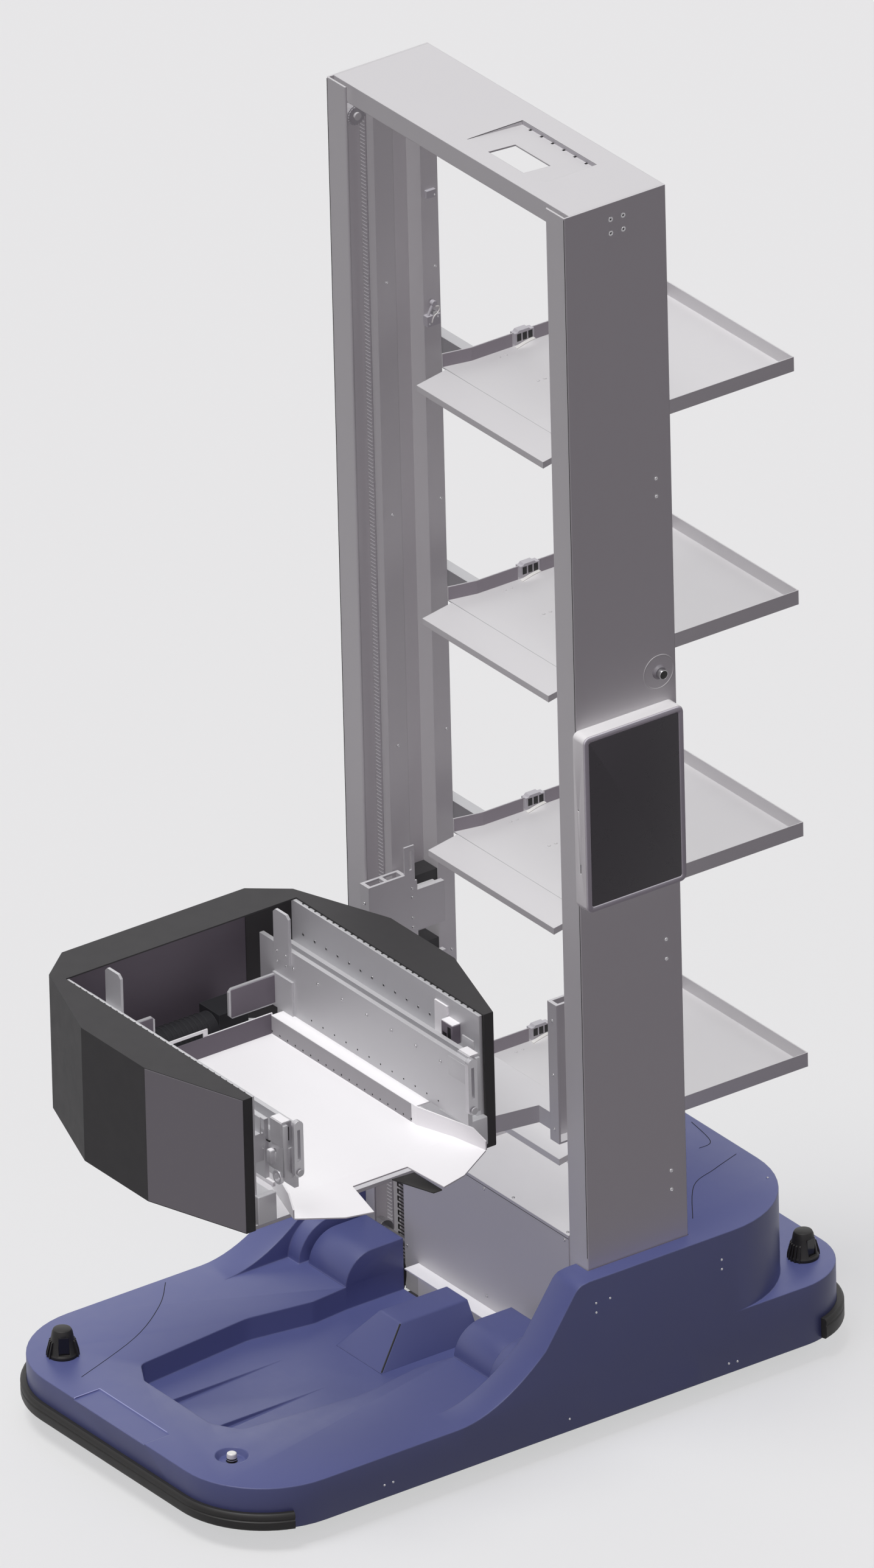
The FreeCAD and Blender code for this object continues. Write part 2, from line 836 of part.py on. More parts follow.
def wheel_mount(side):
    """Bracket on the bottom plate with the stub axle that carries one drive wheel."""
    inner = wheel_y - wheel_width / 2
    plate_y = inner - mount_gap
    head_z = wheel_radius + mount_rise
    profile = [(wheel_x - mount_foot_half, plate_top), (wheel_x + mount_foot_half, plate_top),
               (wheel_x + mount_head_half, head_z), (wheel_x - mount_head_half, head_z)]
    plate = side_prism(profile, plate_y, plate_y + mount_sheet)
    foot = box(wheel_x - mount_foot_half, wheel_x + mount_foot_half, plate_y - mount_gap, plate_y + 1,
               plate_top, plate_top + mount_sheet)
    collar = box(wheel_x - collar_half, wheel_x + collar_half, plate_y, inner - fit_gap,
                 wheel_radius - collar_half, wheel_radius + collar_half)
    axle = rod((wheel_x, plate_y, wheel_radius), (wheel_x, wheel_y + wheel_width / 2 + 6, wheel_radius), axle_radius)
    return for_side(fuse([plate, foot, collar, axle]), side)


def caster_yoke(x, y):
    """Swivel yoke: stem, crown plate, two cheeks and the wheel pin."""
    crown_top = caster_plate_z - fit_gap
    crown_low = crown_top - caster_crown
    half = caster_width / 2 + 1
    wheel_cx = x + caster_trail
    stem = rod((x, y, crown_low), (x, y, caster_plate_z + plate_thickness + 6), caster_stem_radius)
    crown = box(x - caster_crown_half, x + caster_crown_half, y - half - caster_cheek, y + half + caster_cheek, crown_low, crown_top)
    solids = [stem, crown]
    for end in (-1, 1):
        outline = [(x - 16, crown_low + 4), (x + 24, crown_low + 4), (wheel_cx + 12, caster_radius + 6),
                   (wheel_cx + 9, caster_radius - 10), (wheel_cx - 9, caster_radius - 10),
                   (wheel_cx - 16, caster_radius + 6)]
        y0 = y + end * half
        y1 = y + end * (half + caster_cheek)
        solids.append(side_prism(outline, min(y0, y1), max(y0, y1)))
    solids.append(rod((wheel_cx, y - half - 3, caster_radius), (wheel_cx, y + half + 3, caster_radius),
                      caster_pin_radius))
    return fuse(solids)


def caster_wheel(x, y):
    """Caster wheel on its pin."""
    return bored_wheel(x + caster_trail, y, caster_radius, caster_width, caster_pin_radius + running_gap)


def battery():
    """Battery case on the bottom plate behind the mast."""
    case = box(mast_rear_x + battery_gap, housing_rear_x - battery_rear_gap, -battery_half, battery_half,
               plate_top, battery_top)
    upright = [e for e in case.Edges if abs(e.Vertexes[0].Z - e.Vertexes[-1].Z) > 1]
    return case.makeChamfer(battery_corner, upright)


def control_unit():
    """Finned control box on top of the battery."""
    x0 = mast_rear_x + battery_gap + control_inset
    x1 = housing_rear_x - battery_rear_gap - control_inset
    shell_top = battery_top + control_height
    solids = [box(x0, x1, -control_half, control_half, battery_top, shell_top)]
    for index in range(fin_count):
        y = (index - (fin_count - 1) / 2) * fin_pitch
        solids.append(box(x0 + control_inset, x1 - control_inset, y - fin_thickness / 2, y + fin_thickness / 2,
                          shell_top - 1, shell_top + fin_height))
    return fuse(solids)


# Mast

def column(side):
    """Column: outer web, front flange, two guide grooves between two hollow lands."""
    d0 = portal_half
    front = mast_front_x

    def at(depth_x, inward):
        return (front + depth_x, d0 - inward)
    outline = [at(0, 0), at(mast_depth, 0), at(mast_depth, groove_depth_left), at(rear_land_rear, groove_depth_left),
               at(rear_land_rear, flange_width), at(groove_b_rear, flange_width),
               at(groove_b_rear, groove_depth_left), at(land_rear, groove_depth_left), at(land_rear, flange_width),
               at(groove_a_rear, flange_width), at(groove_a_rear, groove_depth_left),
               at(column_skin, groove_depth_left), at(column_skin, flange_width), at(0, flange_width)]
    body = plan_prism(outline, plate_top, mast_top)
    corner = [e for e in body.Edges if abs(e.Vertexes[0].Z - e.Vertexes[-1].Z) > 1
              and abs(e.Vertexes[0].X - front) < 0.01]
    body = body.makeFillet(column_bend_radius, corner)
    skin = column_skin
    tools = []
    for x0, x1 in ((groove_a_rear, land_rear), (groove_b_rear, rear_land_rear)):
        tools.append(box(front + x0 + skin, front + x1 - skin, d0 - skin, d0 - flange_width + skin,
                         plate_top - 1, mast_top))
    for x0, x1 in ((column_skin, groove_a_rear), (land_rear, groove_b_rear), (rear_land_rear, mast_depth)):
        tools.append(box(front + x0 + skin, front + x1 - skin, d0 - skin, d0 - groove_depth_left + skin,
                         plate_top - 1, mast_top))
    beam_seat = mast_top - beam_lip
    tools.append(box(front + beam_set_back, mast_rear_x + 1, d0 - skin, 0, beam_seat, mast_top + 1))
    tools.append(box(front + column_skin, front + beam_set_back, d0 - skin, 0, beam_seat, mast_top + 1))
    return for_side(fuse([cut(body, tools), idler_pin()]), side)


def bolt_places():
    """Centres of the four bolt holes high on each column's outer face."""
    half = bolt_spacing / 2
    return [(bolt_centre_x + i * half, bolt_centre_z + j * half) for i in (-1, 1) for j in (-1, 1)]


def column_near():
    """Near column with the bolt holes that a bracket or sign can use."""
    holes = []
    for x, z in bolt_places():
        holes.append(rod((x, -portal_half - 1, z), (x, -portal_half + column_skin + 1, z), bolt_hole_radius))
    return cut(column(-1), holes)


def top_beam():
    """Folded beam over both columns with a sloped pocket and a through hole."""
    x0 = mast_front_x + beam_set_back
    x1 = mast_rear_x
    half = portal_half - column_skin
    top = mast_top
    sheet = beam_sheet
    low = top - beam_lip
    shell = box(x0, x1, -half, half, low, top).cut(box(x0 + sheet, x1 - sheet, -half + sheet, half - sheet,
                                                       low - 1, top - sheet))
    near_y, far_y = pocket_near_y, pocket_far_y
    well = side_prism([(pocket_front_x, top + 1), (pocket_front_x, top), (pocket_rear_x, top - pocket_depth),
                       (pocket_rear_x, top + 1)], near_y, far_y)
    tray = side_prism([(pocket_front_x - 10, top - 1), (pocket_front_x - 10, top - sheet),
                       (pocket_rear_x + sheet, top - pocket_depth - sheet), (pocket_rear_x + sheet, top - 1)],
                      near_y - sheet, far_y + sheet)
    hole = box(beam_hole_x, beam_hole_x + beam_hole_length, beam_hole_y[0], beam_hole_y[1], low, top + 1)
    return cut(fuse([shell, tray]), [well, hole])


def lift_belt(side):
    """Closed belt loop from the drive pulley to the idler, with room for both pulleys."""
    inner = pulley_radius + belt_gap
    return for_side(belt_form(inner + belt_thickness, belt_width).cut(belt_form(inner, belt_width + 2)), side)


def belt_form(radius, width):
    """Bar as wide as given round both pulleys of the far column."""
    y0 = pulley_y - width / 2
    ends = [level_round(y0, z, width, radius) for z in (drive_shaft_z, idler_z)]
    return fuse(ends + [box(pulley_x - radius, pulley_x + radius, y0, y0 + width, drive_shaft_z, idler_z)])


def level_round(y0, z, width, radius):
    """Many-sided bar across the mast at the belt's place, with its flats at the given radius."""
    body = fluted_rod(0, 0, 0, width, radius)
    body.rotate(V(0, 0, 0), X_AXIS, -90)
    body.translate(V(pulley_x, y0, z))
    return body


def pulley(y, z, bore):
    """Belt pulley with flat teeth, whose corners stay clear of the belt as it turns."""
    half = pulley_width / 2
    body = level_round(y - half, z, pulley_width, pulley_radius * math.cos(math.pi / flute_count))
    if bore > 0:
        body = body.cut(rod((pulley_x, y - half - 1, z), (pulley_x, y + half + 1, z), bore))
    return body


def idler_pin():
    """Block and pin in the column's front groove that carry the idler pulley."""
    wall_y = portal_half - groove_depth_left
    block = box(mast_front_x + column_skin + 6, mast_front_x + groove_a_rear - 6, wall_y - 5, wall_y + 1,
                idler_z - 26, idler_z + 26)
    pin = rod((pulley_x, wall_y, idler_z), (pulley_x, pulley_y - pulley_width / 2 - 4, idler_z), shaft_radius)
    return fuse([block, pin])


def drive_shaft():
    """Cross shaft with a belt pulley at each end."""
    reach = pulley_y + pulley_width / 2 + 3
    solids = [rod((pulley_x, -reach, drive_shaft_z), (pulley_x, reach, drive_shaft_z), shaft_radius)]
    for side in SIDES.values():
        solids.append(pulley(side * pulley_y, drive_shaft_z, 0))
    return fuse(solids)


def shaft_bearings():
    """Two pillow blocks on the cabinet floor that carry the drive shaft."""
    solids = []
    for y in bearing_places():
        block = box(pulley_x - bearing_half, pulley_x + bearing_half, y - bearing_width / 2, y + bearing_width / 2,
                    plate_top + cabinet_wall - 1, drive_shaft_z + bearing_half)
        solids.append(block.cut(rod((pulley_x, y - bearing_width, drive_shaft_z),
                                    (pulley_x, y + bearing_width, drive_shaft_z), shaft_radius + running_gap)))
    return solids


def bearing_places():
    """Places along the drive shaft of its two pillow blocks."""
    return [cabinet_near_y() + bearing_inset[0], cabinet_far_y - bearing_inset[1]]


def cabinet_near_y():
    """Near end of the cabinet, against the near column."""
    return -flange_inner_y + cabinet_gap


def cabinet():
    """Sheet cabinet with shaft holes, a floor and ventilation slots in its rear wall."""
    x0 = mast_front_x
    x1 = x0 + cabinet_depth
    near = cabinet_near_y()
    outer = box(x0, x1, near, cabinet_far_y, plate_top, cabinet_top)
    wall = cabinet_wall
    hollow = box(x0 + wall, x1 - wall, near + wall, cabinet_far_y - wall, plate_top + wall, cabinet_top - wall)
    tools = [hollow, rod((pulley_x, near - 1, drive_shaft_z), (pulley_x, cabinet_far_y + 1, drive_shaft_z),
                         shaft_radius + shaft_hole_gap)]
    for index in range(vent_count):
        z = vent_low + index * vent_pitch
        tools.append(box(x1 - 5, x1 + 5, vent_y[0], vent_y[1], z, z + vent_height))
    return fuse([outer.cut(tools)] + shaft_bearings())


def cabinet_baffle():
    """Upright baffle along the cabinet's rear edge with a curved gusset at its far end."""
    x1 = mast_front_x + cabinet_depth
    near = cabinet_near_y()
    sheet = cabinet_wall
    top = cabinet_top + baffle_height
    plate = box(x1 - sheet, x1, near, baffle_far_y, cabinet_top, top)
    start = V(x1 - gusset_reach, baffle_far_y, cabinet_top + 30)
    mid = V(x1 - gusset_reach * 0.45, baffle_far_y, top - 4)
    end = V(x1 + 4, baffle_far_y, top + 14)
    wire = Part.Wire([
        Part.Arc(start, mid, end).toShape(),
        Part.makeLine(end, V(x1 + 4, baffle_far_y, top)),
        Part.makeLine(V(x1 + 4, baffle_far_y, top), V(x1, baffle_far_y, top)),
        Part.makeLine(V(x1, baffle_far_y, top), V(x1, baffle_far_y, cabinet_top)),
        Part.makeLine(V(x1, baffle_far_y, cabinet_top), V(x1 - gusset_reach, baffle_far_y, cabinet_top)),
        Part.makeLine(V(x1 - gusset_reach, baffle_far_y, cabinet_top), start),
    ])
    gusset = Part.Face(wire).extrude(V(0, sheet, 0))
    return fuse([plate, gusset])


def lift_motor():
    """Gearbox round the drive shaft with an upright motor on top."""
    x0 = mast_front_x + cabinet_wall + lift_motor_gap
    low = plate_top + cabinet_wall
    y0, y1 = lift_motor_y
    gearbox = box(x0, x0 + gearbox_depth, y0, y1, low, low + gearbox_height)
    gearbox = gearbox.cut(rod((pulley_x, y0 - 1, drive_shaft_z), (pulley_x, y1 + 1, drive_shaft_z),
                              shaft_radius + running_gap))
    x, y = x0 + gearbox_depth / 2, (y0 + y1) / 2
    top = low + gearbox_height + lift_motor_length
    motor = fluted_rod(x, y, low + gearbox_height - 1, top, lift_motor_radius)
    brake = fluted_rod(x, y, top, top + lift_brake_length, lift_motor_radius - lift_brake_step)
    return fuse([gearbox, motor, brake])


def cable_chain():
    """Column of chain links standing in the gap beside the cabinet."""
    x0, y0 = mast_front_x + chain_setback, cabinet_far_y + chain_gap
    links = []
    pitch = (cabinet_top - plate_top) / chain_links
    for index in range(chain_links):
        z = plate_top + index * pitch
        shrink = chain_waist if index % 2 else 0.0
        outer = box(x0 + shrink, x0 + chain_depth - shrink, y0, y0 + chain_width, z, z + pitch)
        window = box(x0 - 1, x0 + chain_depth + 1, y0 + chain_rim, y0 + chain_width - chain_rim,
                     z + pitch * 0.32, z + pitch * 0.68)
        links.append(outer.cut(window))
    return fuse(links)


def limit_switches():
    """Two small switches on the far column: a roller switch and a plain sensor."""
    y0 = flange_inner_y
    x0 = mast_front_x + groove_b_rear
    z0 = mast_top - roller_switch_drop
    z1 = z0 + roller_switch_height
    body = box(x0 - 2, x0 + switch_depth, y0 - roller_switch_width, y0, z0, z1)
    mid_y = y0 - roller_switch_width / 2
    tip_x, tip_z = x0 + roller_reach, z1 + roller_rise
    arm = rod((x0 + 4, mid_y, z1 - 1), (tip_x, mid_y, tip_z), roller_radius / 2)
    roller = rod((tip_x, mid_y - 5, tip_z), (tip_x, mid_y + 5, tip_z), roller_radius)
    z2 = mast_top - plain_switch_drop
    plain = box(x0 + switch_setback, x0 + switch_depth, y0 - plain_switch_width, y0, z2, z2 + plain_switch_height)
    return [fuse([body, arm, roller]), plain]


# Storage

def floor_z(level):
    """Top of a storage tray's floor."""
    return first_floor_z + level * tray_pitch


def crossbar_x0():
    """Front face of the crossbars, behind the columns' rear lands."""
    return mast_rear_x - crossbar_depth


def storage_tray(level):
    """Folded tray: flared front, sloping lip, low walls, deeper gussets next to the mast."""
    z = floor_z(level)
    sheet = tray_sheet
    half = tray_half + sheet
    wide = half + tray_flare
    outline = [(tray_floor_front_x, -wide), (tray_straight_x, -half), (tray_rear_x, -half), (tray_rear_x, half),
               (tray_straight_x, half), (tray_floor_front_x, wide)]
    inner = [(tray_floor_front_x - 1, -wide + sheet), (tray_straight_x, -tray_half),
             (tray_rear_x - sheet, -tray_half), (tray_rear_x - sheet, tray_half), (tray_straight_x, tray_half),
             (tray_floor_front_x - 1, wide - sheet)]
    pan = plan_prism(outline, z - sheet, z + tray_wall_height).cut(plan_prism(inner, z, z + tray_wall_height + 1))
    lip_low = z - tray_lip_drop
    lip = side_prism([(tray_lip_x, lip_low), (tray_floor_front_x, z), (tray_floor_front_x, z - sheet),
                      (tray_lip_x, lip_low - sheet)], -tray_half, tray_half)
    hem = box(tray_lip_x, tray_lip_x + sheet, -tray_half, tray_half, lip_low - 14, lip_low - 0.5)
    solids = [pan, lip, hem]
    for side in SIDES.values():
        end = side_prism([(tray_lip_x, lip_low), (tray_lip_x + 30, lip_low + 5), (tray_lip_x + 30, lip_low - 8),
                          (tray_lip_x, lip_low - 14)], tray_half - sheet, tray_half)
        solids.append(for_side(end, side))
        x0 = mast_rear_x + fit_gap
        web = side_prism([(x0, z - 1), (x0 + gusset_taper, z - 1),
                          (x0 + gusset_taper, z + tray_wall_height - gusset_depth_rear - sheet),
                          (x0, z + tray_wall_height - gusset_depth_mast)], tray_half, tray_half + sheet)
        solids.append(for_side(web, side))
    sensor_slot = box(sensor_x - 1, sensor_x + sensor_length + 1, tray_half - 1, half + 1,
                      z + sensor_rise, z + tray_wall_height + 1)
    return fuse(solids).cut(sensor_slot)


def tray_sensor(level):
    """Presence sensor clipped into the far wall of a tray."""
    z = floor_z(level) + sensor_rise + fit_gap
    top = z + sensor_height
    x0 = sensor_x
    y0, y1 = tray_half - sensor_inner, tray_half + sensor_outer
    body = box(x0, x0 + sensor_length, y0, y1, z, top)
    hood = side_prism([(x0 + 6, top), (x0 + 10, top + 4), (x0 + 34, top + 4), (x0 + 38, top)], y0, y1)
    return fuse([body, hood])


def tray_crossbar(level):
    """Perforated channel bolted between the columns under a tray."""
    x0 = crossbar_x0()
    x1 = mast_rear_x
    half = portal_half - groove_depth_left
    top = floor_z(level) - tray_sheet
    wall = crossbar_wall
    bar = box(x0, x1, -half, half, top - crossbar_height, top)
    bar = bar.cut(box(x0 + wall, x1 - wall, -half - 1, half + 1, top - crossbar_height - 1, top - wall))
    holes = []
    pitch = 2 * (half - crossbar_end) / (crossbar_holes - 1)
    reach = crossbar_hole / 2
    for index in range(crossbar_holes):
        y = -half + crossbar_end + index * pitch
        z = top - crossbar_height / 2
        holes.append(box(x1 - wall - 1, x1 + 1, y - crossbar_slot / 2, y + crossbar_slot / 2, z - reach, z + reach))
    return bar.cut(holes)


# Tablet and column button

def tablet_case():
    """Tablet housing with rounded corners, a recessed screen seat and a speaker slot."""
    y1 = -portal_half
    y0 = y1 - tablet_depth
    x0, x1 = tablet_front_x, tablet_front_x + tablet_width
    low, high = tablet_low, tablet_low + tablet_height
    case = box(x0, x1, y0, y1, low, high)
    corners = [e for e in case.Edges if abs(e.Vertexes[0].Y - e.Vertexes[-1].Y) > 1]
    case = case.makeFillet(tablet_corner, corners)
    seat = box(x0 + bezel_width, x1 - bezel_width, y0 - 1, y0 + glass_depth, low + bezel_width, high - bezel_width)
    slot = box(x0 - 1, x0 + 2, y0 + 16, y0 + 20, low + 82, low + 102)
    return cut(case, [seat, slot])


def tablet_screen():
    """Glass laid into the tablet case."""
    y0 = -portal_half - tablet_depth
    gap = fit_gap
    return box(tablet_front_x + bezel_width + gap, tablet_front_x + tablet_width - bezel_width - gap,
               y0 + 0.5, y0 + glass_depth, tablet_low + bezel_width + gap,
               tablet_low + tablet_height - bezel_width - gap)


def button_bezel():
    """Collar of the round button on the near column."""
    x, z = column_button_x, column_button_z
    reach = column_button_radius + column_button_collar
    block = box(x - reach, x + reach, -portal_half - 7, -portal_half, z - reach, z + reach)
    corners = [e for e in block.Edges if abs(e.Vertexes[0].Y - e.Vertexes[-1].Y) > 1]
    collar = block.makeChamfer(reach * 0.55, corners)
    return collar.cut(rod((x, -portal_half + 1, z), (x, -portal_half - 8, z), column_button_radius + running_gap))


def column_button():
    """Round button cap that slides in its collar."""
    x, z = column_button_x, column_button_z
    low_y = -portal_half - column_button_travel - fit_gap
    return rod((x, low_y, z), (x, low_y - column_button_height, z), column_button_radius)


# Lift carriage

def side_channel(side):
    """Upright channel that reaches into one column, with a slotted top, a side plate and a tab."""
    s = channel_sheet
    y0, y1 = channel_inner_y, channel_outer_y
    low, high = channel_low, channel_top
    body = box(channel_front_x, channel_rear_x, y0, y1, low, high)
    body = body.cut(box(channel_front_x + s, channel_rear_x - s, y0 + s, y1 + 1, low + s, high - s))
    plate = box(channel_rear_x - s, channel_plate_x, y0, y0 + s, low, high - 18)
    tab = box(channel_rear_x - s, channel_plate_x - 5, y0, y0 + s, high - 20, high + channel_tab)
    slots = []
    for x0, x1 in ((channel_front_x + 8, channel_front_x + 42), (channel_front_x + 50, channel_rear_x - 8)):
        slots.append(box(x0, x1, y0 + 6, y1 - 6, high - s - 1, high + 1))
    slots.append(box(channel_plate_x - 18, channel_plate_x - 12, y0 - 1, y0 + s + 1, high + 8, high + 50))
    return for_side(fuse([body, plate, tab]).cut(slots), side)


def shoe_levels():
    """Lower ends of the guide shoes."""
    return [channel_low + 14, channel_top - shoe_length - 30]


def shoe_span():
    """Front and rear face of a shoe inside the guide groove."""
    return mast_front_x + land_rear + shoe_gap, mast_front_x + groove_b_rear - shoe_gap


def shoe_carrier(side):
    """Arms from the channel's side plate to the guide shoes."""
    x0, x1 = shoe_span()
    solids = []
    for z in shoe_levels():
        solids.append(box(channel_plate_x - 10, x1 - 8, channel_inner_y, channel_inner_y + 12, z + 10,
                          z + shoe_length - 10))
        solids.append(box(x0 + 12, x1 - 12, channel_inner_y, flange_inner_y + 2, z + 20, z + shoe_length - 20))
    return for_side(fuse(solids), side)


def guide_shoe(side, z):
    """Sliding block that rides in the column's guide groove."""
    x0, x1 = shoe_span()
    outer = portal_half - groove_depth_left - shoe_gap
    return for_side(box(x0, x1, flange_inner_y + 2, outer, z, z + shoe_length), side)


def belt_clamp(side):
    """Clamp that holds the rear run of the belt without touching it here."""
    x = pulley_x + pulley_radius + belt_gap + belt_thickness / 2
    z = channel_low + 120
    y0 = channel_inner_y + 2
    y1 = pulley_y + belt_width / 2 + 6
    body = box(x - 8, mast_front_x + groove_a_rear - 1.5, y0, y1, z, z + 50)
    slit_half = belt_thickness / 2 + fit_gap
    slit = box(x - slit_half, x + slit_half, pulley_y - belt_width / 2 - 1, pulley_y + belt_width / 2 + 1,
               z - 1, z + 51)
    return for_side(body.cut(slit), side)


def carriage_frame():
    """Carriage: two side channels, a cross box and the platform that carries the fork."""
    solids = []
    for side in SIDES.values():
        solids += [side_channel(side), shoe_carrier(side), belt_clamp(side)]
    cross = box(cross_front_x, tray_lip_x - cross_clearance, -channel_inner_y, channel_inner_y,
                platform_low, platform_top)
    solids.append(cross)
    reach = ring_outer + platform_margin
    wide = platform_half
    nose = rod((fork_x, 0, platform_low), (fork_x, 0, platform_top), reach)
    tongue = plan_prism([(fork_x, -reach), (cross_front_x + 2, -wide), (cross_front_x + 2, wide),
                         (fork_x, reach)], platform_low, platform_top)
    deck = fuse([nose, tongue])
    skin = platform_skin
    hollow_nose = fluted_rod(fork_x, 0, platform_low - 1, platform_top - skin, reach - 2 * skin)
    hollow_tongue = plan_prism([(fork_x, -reach + skin), (cross_front_x - skin, skin - wide),
                                (cross_front_x - skin, wide - skin), (fork_x, reach - skin)],
                               platform_low - 1, platform_top - skin)
    hole = rod((fork_x, 0, platform_low - 2), (fork_x, 0, platform_top + 2), motor_hole_radius)
    deck = cut(deck, [hollow_nose, hollow_tongue, hole])
    solids.append(deck)
    return fuse(solids)


def turn_ring():
    """Outer ring of the slewing bearing on the platform."""
    top = shroud_low - fit_gap
    bore = rod((fork_x, 0, platform_top - 1), (fork_x, 0, top + 1), ring_inner + running_gap)
    return fluted_rod(fork_x, 0, platform_top, top, ring_outer).cut(bore)


def turn_motor():
    """Flat motor hung under the platform on the turning axis."""
    top = platform_top - platform_skin
    low = top - turn_motor_length
    housing = fluted_rod(fork_x, 0, low, top, turn_motor_radius)
    lid = fluted_rod(fork_x, 0, low - turn_lid_length, low, turn_motor_radius - turn_lid_step)
    return fuse([housing, lid])


# Fork

def shroud_plan(inset, z0, z1):
    """Faceted outline of the shroud about its own axis."""
    points = shroud_half_outline + [(-x, y) for x, y in reversed(shroud_half_outline)]
    wire = Part.makePolygon([V(x, y, z0) for x, y in points + points[:1]])
    if inset > 0:
        wire = wire.makeOffset2D(-inset, join=2)
    body = Part.Face(wire).extrude(V(0, 0, z1 - z0))
    return body


def at_fork(shape):
    """Move a piece drawn about the fork axis to its place."""
    shape.translate(V(fork_x, 0, 0))
    return shape


def fork_base():
    """Base plate of the fork with the hub that turns in the ring."""
    plate = shroud_plan(shroud_sheet + fit_gap, shroud_low, shroud_low + fork_plate)
    hub = rod((0, 0, platform_top + fit_gap), (0, 0, shroud_low + 1), ring_inner)
    posts = []
    half = fork_post_half
    for x in (-fork_post_x, fork_post_x):
        for y in (-fork_post_y, 0.0, fork_post_y):
            posts.append(box(x - half, x + half, y - half, y + half, arm_plate_low - 1, tray_floor_z - box_sheet))
    bore = rod((0, 0, platform_top - 5), (0, 0, arm_plate_low + 1), hub_bore)
    return at_fork(cut(fuse([plate, hub] + posts), [bore]))


def fork_shroud():
    """Faceted guard: tall outer wall, flat rim with a rectangular opening, open mouth."""
    outer = shroud_plan(0, shroud_low, shroud_top)
    inner = shroud_plan(shroud_sheet, shroud_low - 1, shroud_top - shroud_sheet)
    rim_hole = box(-rim_half, rim_half, mouth_y - 10, rim_closed_y, shroud_low, shroud_top + 1)
    mouth = box(-rim_half, rim_half, mouth_y - 10, mouth_y + 40, shroud_low - 1, shroud_top + 1)
    drop = box(-rim_half - 60, rim_half + 60, mouth_y + shroud_sheet, mouth_y + 60, shroud_low - 1,
               shroud_top - shroud_sheet)
    inside = drop.common(shroud_plan(shroud_sheet, shroud_low - 1, shroud_top))
    return at_fork(cut(outer, [inner, rim_hole, mouth, inside]))


def fork_tray():
    """White box tray: flat floor, flared mouth with a notch, folded ledges and a handle at the back."""
    s = box_sheet
    z = tray_floor_z
    half_line = [(box_half, box_back_y), (box_half, box_flare_y), mouth_corner, mouth_bend, mouth_tip,
                 (notch_half, notch_y)]
    plan = half_line + [(-x, y) for x, y in reversed(half_line)]
    slab = end_prism([(box_back_y, z), (lip_fold_y, z), (mouth_tip[1] - 5, z - lip_drop),
                      (mouth_tip[1] - 5, z - lip_drop - s), (lip_fold_y, z - s), (box_back_y, z - s)], -260, 260)
    floor = slab.common(plan_prism(plan, z - 60, z + 10))
    back = box(-box_half - s, box_half + s, box_back_y, box_back_y + s, z - s, box_wall_top + 4)
    handle = box(handle_x[0], handle_x[1], box_back_y, box_back_y + s, box_wall_top - 1, box_wall_top + handle_rise)
    slot = box(handle_x[0] + 10, handle_x[1] - 10, box_back_y - 1, box_back_y + s + 1,
               box_wall_top + 1, box_wall_top + handle_rise - 6)
    solids = [floor, back.fuse(handle).cut(slot)]
    for side in (-1, 1):
        wall = box(box_half, box_half + s, box_flare_y, box_back_y, z - s, box_wall_top)
        ledge = box(box_half, ledge_half + 40, arm_front_y + 90, box_back_y, box_wall_top - s, box_wall_top)
        flare = plan_prism([(box_half, box_flare_y), mouth_corner, (mouth_corner[0] + s, mouth_corner[1]),
                            (box_half + s, box_flare_y)], z - s - 4, box_wall_top)
        crest = end_prism([(box_flare_y + 1, z - 20), (box_flare_y + 1, box_wall_top),
                           (mouth_corner[1] + 30, box_wall_top - 8), (mouth_corner[1], z - lip_drop + 26),
                           (mouth_corner[1], z - 20)], box_half - 5, mouth_corner[0] + 10)
        for piece in (wall, ledge, flare.common(crest)):
            solids.append(piece if side > 0 else piece.mirror(V(0, 0, 0), X_AXIS))
    return at_fork(fuse(solids))


def place_arm(shape, side):
    """Arm piece drawn on the +X side of the fork, for the side asked for."""
    if side < 0:
        shape = shape.mirror(V(0, 0, 0), X_AXIS)
    return at_fork(shape)


def arm_plate(side):
    """Tall fixed plate close behind the rim, its feet on the base plate and the outer slide rail."""
    x0, x1 = arm_plate_inner, arm_plate_outer
    low = arm_plate_low
    foot_top = box_wall_top - box_sheet - arm_foot_drop
    solids = [box(x0, x1, arm_front_y, arm_rear_y, low, arm_plate_top)]
    for y in (arm_front_y, arm_rear_y - arm_foot_length):
        solids.append(box(x0 - arm_foot_reach, x0 + 1, y, y + arm_foot_length, low, foot_top))
    solids.append(box(slide_rail_inner, x0 + 1, arm_front_y + 5, arm_rear_y, slide_rail_low,
                      slide_rail_low + slide_rail_height))
    mid_z = slide_rail_low + slide_rail_height / 2
    groove = box(slide_rail_inner - 1, slide_rail_inner + rail_groove_depth, arm_front_y, arm_rear_y + 1,
                 mid_z - rail_groove_half, mid_z + rail_groove_half)
    return place_arm(cut(fuse(solids), [groove]), side)


def arm_mid(side):
    """Middle stage: plate with a slide block on each face."""
    x0 = mid_inner
    x1 = x0 + stage_sheet
    rear, front = arm_rear_y - mid_set_back, arm_front_y + mid_set_back
    plate = box(x0, x1, front, rear, mid_low, mid_top)
    outer_pad = box(x1 - 1, slide_rail_inner - fit_gap, front + pad_inset, rear - pad_inset,
                    slide_rail_low + pad_edge, slide_rail_low + slide_rail_height - pad_edge)
    inner_rail = box(inner_inner + stage_sheet + inner_pad, x0 + 1, front, rear, slide_rail_low,
                     slide_rail_low + slide_rail_height)
    return place_arm(fuse([plate, outer_pad, inner_rail]), side)


